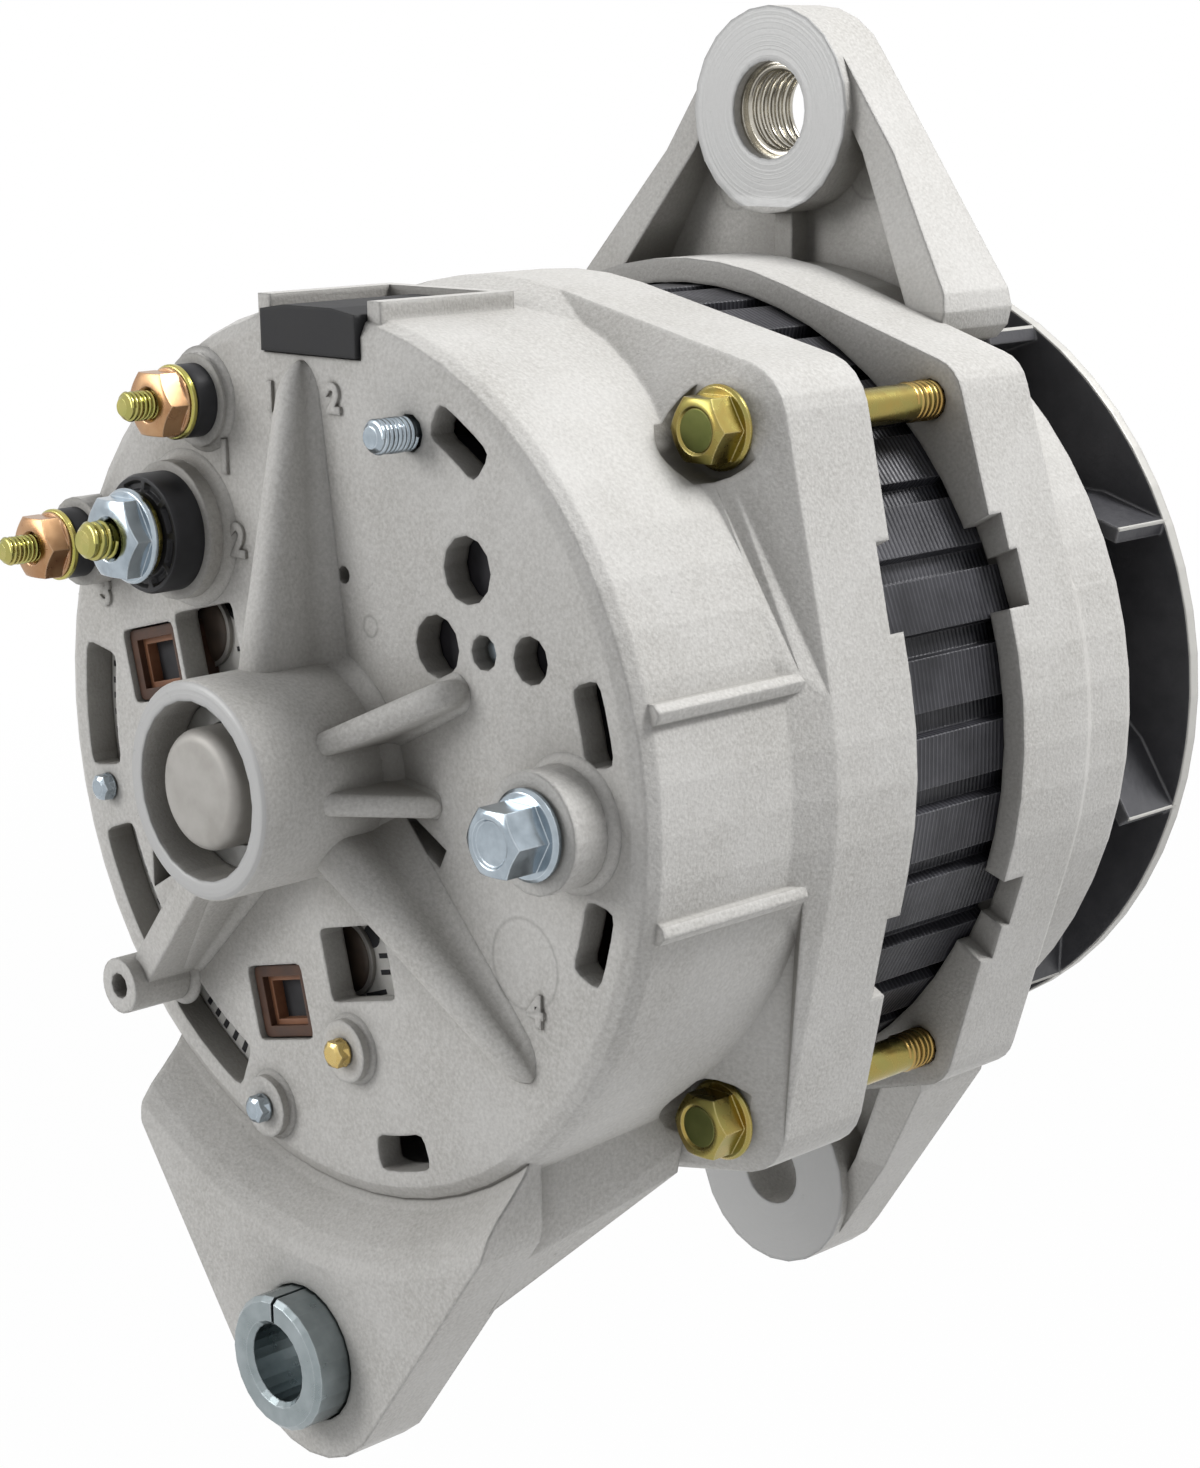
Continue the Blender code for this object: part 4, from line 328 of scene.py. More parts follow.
# Detail and roughness of each noise, and how finely edges, and the corners and holes for painted shade, are
# searched
GRAIN_NOISE = (2.0, 0.6)
PATCH_NOISE = (3.0, 0.55)
SPOT_NOISE = (3.0, 0.7)
EDGE_SAMPLES = 4
SHADE_SAMPLES = 6
# Machined faces: centre, radius
MACHINED = (((0, EAR_STATION, EAR_RISE), 0.0178), ((0, DRIVE_LUG_STATION, -SHAFT_HEIGHT), 0.0178),
            ((0, HUB_END, 0), 0.0172))
MACHINED_DEPTH = 0.0004
# Round marks that the mould's pins leave: centre, radius; then the line's half width and its reach
PIN_MARKS = (((0.0451, 0, -0.0229), 0.0070), ((-0.0151, 0.109, 0.0837), 0.0040),
             ((0.0157, 0.109, 0.0863), 0.0040), ((0.0120, 0, 0.0230), 0.0016))
PIN_LINE = 0.00045
PIN_DEPTH = 0.0030

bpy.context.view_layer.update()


def at(x, y, z):
    """A point given from the shaft line at the rear face, in the frame."""
    return SHAFT_ORIGIN + Vector((x, y, z))


def fill(tree, node, sockets):
    """Give a node's inputs their values or links."""
    for name, value in sockets.items():
        if isinstance(value, bpy.types.NodeSocket):
            tree.links.new(value, node.inputs[name])
        else:
            node.inputs[name].default_value = value
    return node


def place(tree, kind, sockets=None, **settings):
    """Add a node to a tree, with its settings and the values or links of its inputs."""
    node = tree.nodes.new(kind)
    for name, value in settings.items():
        setattr(node, name, value)
    return fill(tree, node, sockets or {})


def calculate(tree, operation, first, second=0.0):
    """One Math node's result."""
    return place(tree, "ShaderNodeMath", {0: first, 1: second}, operation=operation).outputs[0]


def blended(tree, share, first, second):
    """A colour between two, by a mask."""
    node = place(tree, "ShaderNodeMix", data_type="RGBA")
    return fill(tree, node, {0: share, 6: first, 7: second}).outputs[2]


def ranged(tree, value, low, high, new_low=0.0, new_high=1.0):
    """A value stretched from one range to another and held inside it."""
    return place(tree, "ShaderNodeMapRange", {"Value": value, "From Min": low, "From Max": high,
                                              "To Min": new_low, "To Max": new_high}).outputs[0]


def times(tree, first, second):
    """Two values multiplied."""
    return calculate(tree, "MULTIPLY", first, second)


def new_group(name, inputs, outputs, kind="ShaderNodeTree"):
    """An empty node group with named sockets of the kinds given, and its two end nodes."""
    tree = bpy.data.node_groups.new(name, kind)
    for way, sockets in (("INPUT", inputs), ("OUTPUT", outputs)):
        for title, shape in sockets.items():
            tree.interface.new_socket(name=title, in_out=way, socket_type="NodeSocket" + shape)
    return tree, tree.nodes.new("NodeGroupInput"), tree.nodes.new("NodeGroupOutput")


def use(tree, group, **sockets):
    """A group placed in a material with its own values."""
    node = place(tree, "ShaderNodeGroup", node_tree=group)
    return fill(tree, node, {name.replace("_", " "): value for name, value in sockets.items()})


def object_point(tree):
    """The surface point in the part's own frame."""
    return tree.nodes.new("ShaderNodeTexCoord").outputs["Object"]


def noise(tree, point, scale, detail, roughness):
    """Noise over the surface point."""
    return place(tree, "ShaderNodeTexNoise", {"Vector": point, "Scale": scale, "Detail": detail,
                                              "Roughness": roughness}).outputs[0]


def make_grain_group():
    """Fine blasted grain with soft cloudy patches: a height and two masks."""
    tree, start, end = new_group("grain", {"Size": "Float", "Patch": "Float"},
                                 {"Height": "Float", "Speckle": "Float", "Cloud": "Float"})
    point = object_point(tree)
    fine = calculate(tree, "DIVIDE", 1.0, start.outputs["Size"])
    wide = calculate(tree, "DIVIDE", 1.0, start.outputs["Patch"])
    grain = noise(tree, point, fine, *GRAIN_NOISE)
    pits = place(tree, "ShaderNodeTexVoronoi", {"Vector": point, "Scale": fine}).outputs[0]
    patch = noise(tree, point, wide, *PATCH_NOISE)
    fill(tree, end, {"Height": calculate(tree, "ADD", grain, times(tree, pits, PIT_SHARE)),
                     "Speckle": ranged(tree, grain, *SPECKLE_BAND),
                     "Cloud": ranged(tree, patch, *CLOUD_BAND)})
    return tree


def make_edge_group():
    """Softly rounded edges: the rounded normal, and a mask of where an edge is."""
    tree, start, end = new_group("edges", {"Radius": "Float"}, {"Normal": "Vector", "Edge": "Float"})
    bevel = place(tree, "ShaderNodeBevel", {"Radius": start.outputs["Radius"]}, samples=EDGE_SAMPLES)
    flat = tree.nodes.new("ShaderNodeNewGeometry").outputs["Normal"]
    facing = place(tree, "ShaderNodeVectorMath", {0: bevel.outputs[0], 1: flat}, operation="DOT_PRODUCT")
    fill(tree, end, {"Normal": bevel.outputs[0],
                     "Edge": ranged(tree, facing.outputs["Value"], *EDGE_BAND)})
    return tree


def ring_distance(tree, start):
    """How far a point lies from a line along the shaft through Centre, and how far along it."""
    offset = place(tree, "ShaderNodeVectorMath", {0: object_point(tree), 1: start.outputs["Centre"]},
                   operation="SUBTRACT").outputs[0]
    parts = place(tree, "ShaderNodeSeparateXYZ", {0: offset})
    flat = place(tree, "ShaderNodeCombineXYZ", {"X": parts.outputs["X"], "Z": parts.outputs["Z"]})
    away = place(tree, "ShaderNodeVectorMath", {0: flat.outputs[0]}, operation="LENGTH").outputs["Value"]
    return away, calculate(tree, "ABSOLUTE", parts.outputs["Y"])


def make_turned_group():
    """Machined rings round an axis along the shaft: a height, and a mask of a flat disc that they fill."""
    tree, start, end = new_group(
        "turned", {"Centre": "Vector", "Radius": "Float", "Half Depth": "Float", "Spacing": "Float"},
        {"Height": "Float", "Mask": "Float"})
    away, deep = ring_distance(tree, start)
    count = calculate(tree, "DIVIDE", away, start.outputs["Spacing"])
    rings = place(tree, "ShaderNodeTexNoise", {"W": count, "Scale": 1.0, "Detail": 2.0},
                  noise_dimensions="1D")
    inside = calculate(tree, "LESS_THAN", away, start.outputs["Radius"])
    level = calculate(tree, "LESS_THAN", deep, start.outputs["Half Depth"])
    fill(tree, end, {"Height": rings.outputs[0], "Mask": times(tree, inside, level)})
    return tree


def make_pin_mark_group():
    """The faint round line that a mould's pin leaves in a casting."""
    tree, start, end = new_group(
        "pin_mark", {"Centre": "Vector", "Radius": "Float", "Line": "Float", "Half Depth": "Float"},
        {"Mask": "Float"})
    away, deep = ring_distance(tree, start)
    off = calculate(tree, "ABSOLUTE", calculate(tree, "SUBTRACT", away, start.outputs["Radius"]))
    line = ranged(tree, calculate(tree, "DIVIDE", off, start.outputs["Line"]), 0.0, 1.0, 1.0, 0.0)
    level = calculate(tree, "LESS_THAN", deep, start.outputs["Half Depth"])
    fill(tree, end, {"Mask": times(tree, line, level)})
    return tree


def make_scuff_group():
    """Sparse small marks from handling: a mask of short dark strokes."""
    tree, start, end = new_group("scuffs", {"Size": "Float"}, {"Mask": "Float"})
    point = object_point(tree)
    rate = calculate(tree, "DIVIDE", 1.0, start.outputs["Size"])
    spots = ranged(tree, noise(tree, point, rate, *SPOT_NOISE), *SPOT_BAND)
    fine = noise(tree, point, times(tree, rate, SCUFF_FINENESS), *GRAIN_NOISE)
    fill(tree, end, {"Mask": times(tree, spots, ranged(tree, fine, *STROKE_BAND))})
    return tree


def make_crevice_shade_group():
    """Painted shade in corners and holes: a mask of how closed in a point is."""
    tree, start, end = new_group("painted_crevice_shade", {"Reach": "Float"}, {"Mask": "Float"})
    open_share = place(tree, "ShaderNodeAmbientOcclusion", {"Distance": start.outputs["Reach"]},
                       samples=SHADE_SAMPLES)
    fill(tree, end, {"Mask": ranged(tree, open_share.outputs["AO"], *SHADE_BAND)})
    return tree


GRAIN = make_grain_group()
PAINTED_CREVICE_SHADE = make_crevice_shade_group()
EDGES = make_edge_group()
TURNED = make_turned_group()
PIN_MARK = make_pin_mark_group()
SCUFFS = make_scuff_group()


def new_material(name, **values):
    """A Principled material with its plain values set, and its tree and shader."""
    material = bpy.data.materials.new(name)
    material.use_nodes = True
    tree = material.node_tree
    shader = tree.nodes["Principled BSDF"]
    for title, value in values.items():
        shader.inputs[title.replace("_", " ")].default_value = value
    return material, tree, shader


def bump(tree, shader, height, distance, strength, edges):
    """Raise the surface by a height, on top of the rounded edges."""
    node = place(tree, "ShaderNodeBump", {"Height": height, "Distance": distance, "Strength": strength,
                                          "Normal": edges.outputs["Normal"]})
    fill(tree, shader, {"Normal": node.outputs[0]})


def cast_aluminium():
    """Bead-blasted castings, with turned rings on the faces that are machined."""
    # The castings' edges are rounded by this radius and painted with a highlight
    size, patch, worn, relief = CAST_TEXTURE
    material, tree, shader = new_material("blasted_casting", Specular_IOR_Level=0.25)
    grain = use(tree, GRAIN, Size=size, Patch=patch)
    edges = use(tree, EDGES, Radius=worn)
    machined, rings = 0.0, 0.0
    for centre, radius in MACHINED:
        disc = use(tree, TURNED, Centre=at(*centre), Radius=radius, Half_Depth=MACHINED_DEPTH,
                   Spacing=TURNING_PITCH)
        machined = calculate(tree, "MAXIMUM", disc.outputs["Mask"], machined)
        cut = times(tree, disc.outputs["Height"], disc.outputs["Mask"])
        rings = calculate(tree, "ADD", times(tree, cut, RING_SHARE), rings)
    marks = 0.0
    for centre, radius in PIN_MARKS:
        mark = use(tree, PIN_MARK, Centre=at(*centre), Radius=radius, Line=PIN_LINE, Half_Depth=PIN_DEPTH)
        marks = calculate(tree, "MAXIMUM", mark.outputs["Mask"], marks)
    scuffs = use(tree, SCUFFS, Size=SCUFF_SIZE).outputs["Mask"]
    # Painted shade: corners and holes are darkened by how closed in they are
    painted_shade = use(tree, PAINTED_CREVICE_SHADE, Reach=SHADE_REACH).outputs["Mask"]
    dirt = calculate(tree, "MAXIMUM", times(tree, marks, PIN_MARK_SHARE), times(tree, scuffs, SCUFF_SHARE))
    body = blended(tree, grain.outputs["Cloud"], CAST_LOW, CAST_HIGH)
    # Blends: pale grain specks, a painted highlight on edges, machined faces, painted shade in corners and
    # holes, and pin marks and scuffs
    for share, colour in ((times(tree, grain.outputs["Speckle"], GLINT_SHARE), CAST_GLINT),
                          (times(tree, edges.outputs["Edge"], EDGE_HIGHLIGHT_SHARE), CAST_GLINT),
                          (machined, CAST_CUT),
                          (times(tree, painted_shade, CREVICE_SHADE_SHARE), CAST_SHADE),
                          (dirt, CAST_DIRT)):
        body = blended(tree, share, body, colour)
    rough = calculate(tree, "ADD", CAST_ROUGHNESS, times(tree, grain.outputs["Speckle"], CAST_SPREAD))
    rough = calculate(tree, "SUBTRACT", rough, times(tree, machined, CUT_SPREAD))
    fill(tree, shader, {"Base Color": body, "Roughness": rough,
                        "Metallic": ranged(tree, machined, 0.0, 1.0, *CAST_METALLIC)})
    grain_share = ranged(tree, machined, 0.0, 1.0, *CAST_GRAIN_SHARES)
    height = calculate(tree, "ADD", times(tree, grain.outputs["Height"], grain_share), rings)
    height = calculate(tree, "SUBTRACT", height, times(tree, marks, PIN_LINE_SHARE))
    bump(tree, shader, height, relief, CAST_BUMP, edges)
    return material


def stator_varnish():
    """Black varnish over a stack of thin laminations, which show as fine lines round the core."""
    size, patch, worn_edge, relief = STATOR_TEXTURE
    material, tree, shader = new_material("varnished_laminations", Metallic=0.15, Coat_Roughness=0.35,
                                          Specular_IOR_Level=0.35)
    grain = use(tree, GRAIN, Size=size, Patch=patch)
    edges = use(tree, EDGES, Radius=worn_edge)
    along = place(tree, "ShaderNodeSeparateXYZ", {0: object_point(tree)}).outputs["Y"]
    wave = calculate(tree, "SINE", times(tree, along, 2 * math.pi / SHEET_PITCH))
    worn = times(tree, grain.outputs["Cloud"], WEAR_SHARE)
    body = blended(tree, worn, STATOR_LOW, STATOR_HIGH)
    lines = times(tree, ranged(tree, wave, *SHEET_BAND), calculate(tree, "ADD", worn, LINE_SHARE))
    body = blended(tree, lines, body, STATOR_LINE)
    body = blended(tree, times(tree, edges.outputs["Edge"], WEAR_SHARE), body, STATOR_WORN)
    fill(tree, shader, {"Base Color": body,
                        "Roughness": ranged(tree, grain.outputs["Speckle"], 0.0, 1.0, *STATOR_ROUGHNESS),
                        "Coat Weight": ranged(tree, grain.outputs["Cloud"], 0.0, 1.0, *STATOR_COAT)})
    height = calculate(tree, "ADD", wave, times(tree, grain.outputs["Height"], STATOR_GRAIN_SHARE))
    bump(tree, shader, height, relief, STATOR_BUMP, edges)
    return material


def fan_paint():
    """Dark grey fan, with a pale painted highlight round its rim's edge, and pale on the blades' free edges.
    """
    size, patch, worn, relief = FAN_TEXTURE
    material, tree, shader = new_material("fan_paint", Metallic=0.3)
    grain = use(tree, GRAIN, Size=size, Patch=patch)
    edges = use(tree, EDGES, Radius=worn)
    body = blended(tree, grain.outputs["Cloud"], FAN_LOW, FAN_HIGH)
    body = blended(tree, edges.outputs["Edge"], body, FAN_WORN)
    # Outside this radius the rim's edge is painted with a pale highlight
    rim = use(tree, TURNED, Centre=at(0, FAN_STATION, 0), Radius=FAN_HIGHLIGHT_RADIUS, Half_Depth=FAN_SEARCH,
              Spacing=TURNING_PITCH)
    body = blended(tree, rim.outputs["Mask"], FAN_RIM_HIGHLIGHT, body)
    fill(tree, shader, {"Base Color": body,
                        "Roughness": ranged(tree, grain.outputs["Speckle"], 0.0, 1.0, *FAN_ROUGHNESS)})
    bump(tree, shader, grain.outputs["Height"], relief, FAN_BUMP, edges)
    return material


def plated(finish, low, high, edge, roughness, metallic=1.0, radius=SHARP_EDGE, turn=METAL_TURN,
           sheen=METAL_SHEEN):
    """A plated or bare metal with faint tool marks, two tones in patches and brighter edges."""
    name = MATERIAL_NAMES.get(finish, finish)
    material, tree, shader = new_material(name, Metallic=metallic, Specular_IOR_Level=sheen)
    grain = use(tree, GRAIN, Size=turn, Patch=METAL_PATCH)
    edges = use(tree, EDGES, Radius=radius)
    body = blended(tree, grain.outputs["Cloud"], (*low, 1), (*high, 1))
    body = blended(tree, times(tree, edges.outputs["Edge"], WEAR_SHARE), body, (*edge, 1))
    rough = ranged(tree, grain.outputs["Cloud"], 0.0, 1.0, roughness, roughness + ROUGH_SPREAD)
    fill(tree, shader, {"Base Color": body, "Roughness": rough})
    bump(tree, shader, grain.outputs["Height"], METAL_RELIEF, METAL_BUMP, edges)
    return material


def moulded(finish, low, high, edge, roughness, radius=SHARP_EDGE):
    """A moulded plastic, rubber or paper with a fine matt texture and worn edges."""
    return plated(finish, low, high, edge, roughness, 0.0, radius, PLASTIC_GRAIN, PLASTIC_SHEEN)


# Metals by finish: two tones, the tone of worn edges, roughness and, where it isn't 1, the metallic share
METALS = {
    "copper_winding": ((0.30, 0.10, 0.045), (0.48, 0.19, 0.09), (0.70, 0.36, 0.20), 0.32),
    "machined_steel": ((0.42, 0.42, 0.41), (0.52, 0.52, 0.51), (0.70, 0.70, 0.70), 0.28),
    "dull_steel": ((0.33, 0.315, 0.29), (0.40, 0.385, 0.36), (0.55, 0.54, 0.52), 0.45, 0.30),
    "pole_black": ((0.03, 0.03, 0.034), (0.06, 0.06, 0.065), (0.15, 0.15, 0.15), 0.40, 0.50),
    "dark_plate": ((0.018, 0.017, 0.020), (0.030, 0.028, 0.034), (0.09, 0.09, 0.10), 0.50, 0.30),
    "yellow_zinc": ((0.35, 0.26, 0.075), (0.30, 0.27, 0.085), (0.70, 0.60, 0.33), 0.22),
    "olive_zinc": ((0.125, 0.145, 0.045), (0.17, 0.18, 0.06), (0.36, 0.34, 0.14), 0.34),
    "green_gold": ((0.40, 0.39, 0.09), (0.50, 0.41, 0.13), (0.80, 0.74, 0.44), 0.20),
    "white_zinc": ((0.30, 0.35, 0.39), (0.42, 0.48, 0.53), (0.80, 0.85, 0.90), 0.15),
    "zinc_bushing": ((0.25, 0.29, 0.30), (0.33, 0.37, 0.385), (0.60, 0.65, 0.67), 0.26),
    "brass": ((0.56, 0.40, 0.14), (0.60, 0.46, 0.18), (0.82, 0.68, 0.38), 0.22),
    "copper_nut": ((0.37, 0.20, 0.10), (0.46, 0.28, 0.15), (0.78, 0.58, 0.42), 0.24),
}
# Metals of threads and thin wire, whose edges stay sharp
THREAD_METALS = {
    "coil_steel": ((0.40, 0.38, 0.33), (0.58, 0.55, 0.48), (0.70, 0.68, 0.60), 0.18),
    "gold_thread": ((0.36, 0.22, 0.07), (0.44, 0.32, 0.11), (0.60, 0.50, 0.25), 0.24),
    "stud_brass": ((0.36, 0.36, 0.11), (0.46, 0.40, 0.14), (0.72, 0.66, 0.38), 0.20),
}
# Plastics, rubber, carbon, ink and paper by finish: two tones, worn edges, roughness
MOULDINGS = {
    "black_plastic": ((0.014, 0.014, 0.016), (0.022, 0.022, 0.025), (0.08, 0.08, 0.09), 0.40),
    "brown_plastic": ((0.050, 0.026, 0.018), (0.085, 0.042, 0.026), (0.20, 0.11, 0.07), 0.45),
    "tan_plastic": ((0.20, 0.088, 0.045), (0.27, 0.125, 0.068), (0.36, 0.20, 0.13), 0.40),
    "disc_brown": ((0.050, 0.038, 0.030), (0.085, 0.062, 0.046), (0.20, 0.17, 0.13), 0.42),
    "label_paper": ((0.62, 0.61, 0.57), (0.74, 0.73, 0.70), (0.50, 0.49, 0.46), 0.60),
    "label_ink": ((0.020, 0.020, 0.022), (0.035, 0.035, 0.038), (0.05, 0.05, 0.05), 0.55),
    "black_rubber": ((0.012, 0.012, 0.013), (0.024, 0.024, 0.026), (0.07, 0.07, 0.07), 0.62, SOFT_EDGE),
    "carbon": ((0.020, 0.020, 0.020), (0.035, 0.035, 0.035), (0.07, 0.07, 0.07), 0.60),
}
# Names of the materials that aren't called after their finish
MATERIAL_NAMES = {"copper_winding": "varnished_wire", "pole_black": "varnished_poles",
                  "dark_plate": "dark_anodised_plate", "green_gold": "green_gold_zinc",
                  "white_zinc": "blue_white_zinc", "carbon": "pressed_carbon"}
FINISHES = {"cast_aluminium": cast_aluminium(), "stator_black": stator_varnish(), "fan_black": fan_paint()}
FINISHES.update({finish: plated(finish, *row) for finish, row in METALS.items()})
FINISHES.update({finish: plated(finish, *row, radius=THREAD_EDGE) for finish, row in THREAD_METALS.items()})
FINISHES.update({finish: moulded(finish, *row) for finish, row in MOULDINGS.items()})
# Nodes whose finish is told from that of their slot's other nodes
NODE_FINISHES = {"rectifier_bridge": "dark_plate", "hinge_bushing": "zinc_bushing"}


def dress_nodes():
    """Give every CAD node the finish that its slot names."""
    for row in frame["record"]["subparts"]:
        item = frame["nodes"][row["node"]]
        item.data.materials.clear()
        item.data.materials.append(FINISHES[NODE_FINISHES.get(row["node"], row["material_slot"])])


def make_thread_tree():
    """A screw thread or a wire coil as a Geometry Nodes tree: a ridge swept along a helix."""
    tree, start, end = new_group(
        "screw_thread", {"Radius": "Float", "Pitch": "Float", "Depth": "Float", "Turns": "Float",
                         "Sides": "Int", "Finish": "Material"}, {"Geometry": "Geometry"}, "GeometryNodeTree")
    radius, turns = start.outputs["Radius"], start.outputs["Turns"]
    helix = place(tree, "GeometryNodeCurveSpiral",
                  {"Resolution": THREAD_SIDES, "Rotations": turns, "Start Radius": radius,
                   "End Radius": radius, "Height": times(tree, start.outputs["Pitch"], turns)})
    ridge = place(tree, "GeometryNodeCurvePrimitiveCircle",
                  {"Resolution": start.outputs["Sides"], "Radius": start.outputs["Depth"]})
    swept = place(tree, "GeometryNodeCurveToMesh",
                  {"Curve": helix.outputs[0], "Profile Curve": ridge.outputs[0], "Fill Caps": True})
    solid = place(tree, "GeometryNodeRealizeInstances", {0: swept.outputs[0]})
    painted = place(tree, "GeometryNodeSetMaterial",
                    {0: solid.outputs[0], "Material": start.outputs["Finish"]})
    fill(tree, end, {0: painted.outputs[0]})
    return tree


def new_object(name, data):
    """A mesh, curve, camera or lamp as an object of the scene."""
    item = bpy.data.objects.new(name, data)
    bpy.context.scene.collection.objects.link(item)
    return item


def shape_of(item):
    """An object's evaluated shape as a plain mesh, and the object taken away."""
    graph = bpy.context.evaluated_depsgraph_get()
    mesh = bpy.data.meshes.new_from_object(item.evaluated_get(graph))
    bpy.data.objects.remove(item, do_unlink=True)
    return mesh


def grown(name, tree, values, matrix):
    """Run a Geometry Nodes tree and keep its result as one plain mesh, in place."""
    seed = new_object(name + "_seed", bpy.data.meshes.new(name + "_seed"))
    modifier = seed.modifiers.new("tree", "NODES")
    modifier.node_group = tree
    for socket in tree.interface.items_tree:
        if socket.in_out == "INPUT":
            modifier[socket.identifier] = values[socket.name]
    mesh = shape_of(seed)
    mesh.transform(matrix)
    mesh.name = name
    return mesh


def piece(name, mesh, body="housing", replaces=None):
    """A finished mesh as a piece that rides on a body, where one is named, and hides the CAD node that it
    replaces.
    """
    item = new_object(name, mesh)
    if body:
        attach(item, body)
    if replaces:
        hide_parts(replaces)
    return item


def joined_piece(name, meshes, replaces=None):
    """Several meshes of one finish as one piece of the housing."""
    bm = bmesh.new()
    for mesh in meshes:
        bm.from_mesh(mesh)
    whole = bpy.data.meshes.new(name)
    bm.to_mesh(whole)
    bm.free()
    whole.materials.append(meshes[0].materials[0])
    for mesh in meshes:
        bpy.data.meshes.remove(mesh)
    piece(name, whole, replaces=replaces)


def along_shaft(point):
    """A matrix that lays a shape made along Z along the shaft, starting at a point in the frame."""
    return Matrix.Translation(point) @ Matrix.Rotation(math.radians(-90), 4, "X")


def closed_mesh(name, rings, finish, looped=False, sharp=SHARP_LIMIT):
    """A closed shape through rings of points, with outward faces, soft shading and sharp corners."""
    bm = skin(rings, looped)
    bmesh.ops.remove_doubles(bm, verts=bm.verts, dist=WELD)
    bmesh.ops.recalc_face_normals(bm, faces=bm.faces)
    mesh = bpy.data.meshes.new(name)
    bm.to_mesh(mesh)
    bm.free()
    mesh.polygons.foreach_set("use_smooth", [True] * len(mesh.polygons))
    mesh.set_sharp_from_angle(angle=sharp)
    mesh.materials.append(FINISHES[finish])
    return mesh


def ring(middle, reach, station, sides):
    """Points round a line along the shaft, by numbers or by functions of the clock angle."""
    points = []
    for step in range(sides):
        degrees = 360 * step / sides
        radius = reach(degrees) if callable(reach) else reach
        y = station(degrees) if callable(station) else station
        angle = math.radians(degrees)
        points.append(Vector((middle.x + radius * math.cos(angle), y, middle.z + radius * math.sin(angle))))
    return points


def rounds(middle, profile, steps=ROUND_STEPS):
    """Rings of points from a profile of (radius, station) pairs."""
    return [ring(middle, radius, station, steps) for radius, station in profile]


def skin(rings, looped):
    """Faces through rings of points that have the same number each, with both ends closed or joined."""
    bm = bmesh.new()
    loops = [[bm.verts.new(point) for point in points] for points in rings]
    pairs = list(zip(loops, loops[1:])) + ([(loops[-1], loops[0])] if looped else [])
    for first, second in pairs:
        for index in range(len(first)):
            after = (index + 1) % len(first)
            bm.faces.new((first[index], first[after], second[after], second[index]))
    if not looped:
        bm.faces.new(loops[0])
        bm.faces.new(loops[-1])
    return bm


def hexagon_reach(across):
    """The radius of a hexagon by clock angle, from its size across the flats."""
    def reach(degrees):
        return across / 2 / math.cos(math.radians(degrees % 60 - 30))
    return reach


def hexagon_rings(middle, across, base, top):
    """Rings of a hexagon with its chamfered end at top, which lies towards the rear of base."""
    corner = hexagon_reach(across)
    crown = across / 2 * CHAMFER_SHARE

    def shoulder(degrees):
        return top + (corner(degrees) - crown) * CHAMFER_SLOPE
    return rounds(middle, ((corner, base), (corner, shoulder), (crown, top)))


def lathe(name, middle, profile, finish, looped=False):
    """A profile of (radius, station) pairs turned round a line along the shaft."""
    return closed_mesh(name, rounds(middle, profile), finish, looped)


def middle_of(node):
    """The middle of a node's box, and its rear and front stations."""
    low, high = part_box(node)
    return (low + high) / 2, low.y, high.y


def thread_mesh(name, tree, middle, start, end, crest, pitch, finish):
    """One screw thread round a shank, between two stations."""
    depth = pitch * THREAD_DEPTH_SHARE
    values = {"Radius": crest - depth, "Pitch": pitch, "Depth": depth,
              "Turns": (end - start - 2 * depth) / pitch, "Sides": RIDGE_SIDES, "Finish": FINISHES[finish]}
    return grown(name, tree, values, along_shaft(Vector((middle.x, start + depth, middle.z))))


def add_studs(tree):
    """Round threaded studs in place of the plain ones."""
    for node, (crest, pitch) in STUD_SHAPES.items():
        middle, tip, foot = middle_of(node)
        finish = STUD_FINISHES[node]
        core = crest - pitch * THREAD_DEPTH_SHARE
        profile = ((core - 2 * TIP_EDGE, tip), (core - TIP_EDGE, tip), (core, tip + TIP_EDGE), (core, foot))
        core_mesh = lathe(node + "_turned", middle, profile, finish)
        nut = node.replace("stud", "nut")
        end = middle_of(nut)[1] + 2 * pitch if nut in frame["nodes"] else REAR_FACE_STATION
        turns = thread_mesh(node + "_thread", tree, middle, tip + TIP_EDGE / 2, end, crest, pitch, finish)
        joined_piece(node + "_turned", [core_mesh, turns], node)


def add_nuts():
    """Flange nuts with chamfered corners, each with its washer below."""
    for node, (across, bore, flange, thick, washer, plate, short) in NUT_SHAPES.items():
        middle, top, base = middle_of(node)
        top += short
        seat = base - plate
        edge = thick / FLANGE_PARTS
        rings = rounds(middle, ((bore, seat), (flange - edge, seat), (flange, seat - edge),
                                (flange, seat - 2 * edge), (flange - edge, seat - thick)))
        rings += hexagon_rings(middle, across, seat - thick, top)
        rings += rounds(middle, ((bore + NUT_MOUTH, top), (bore, top + NUT_MOUTH)))
        finish = NUT_FINISHES[node]
        mesh = closed_mesh(node + "_hexagon", rings, finish, looped=True)
        piece(node + "_hexagon", mesh, replaces=node)
        edge = plate / WASHER_PARTS
        profile = ((bore, base), (washer - edge, base), (washer, base - edge), (washer, seat + edge),
                   (washer - edge, seat), (bore, seat))
        mesh = lathe(node + "_washer", middle, profile, "green_gold", looped=True)
        piece(node + "_washer", mesh, replaces=node)


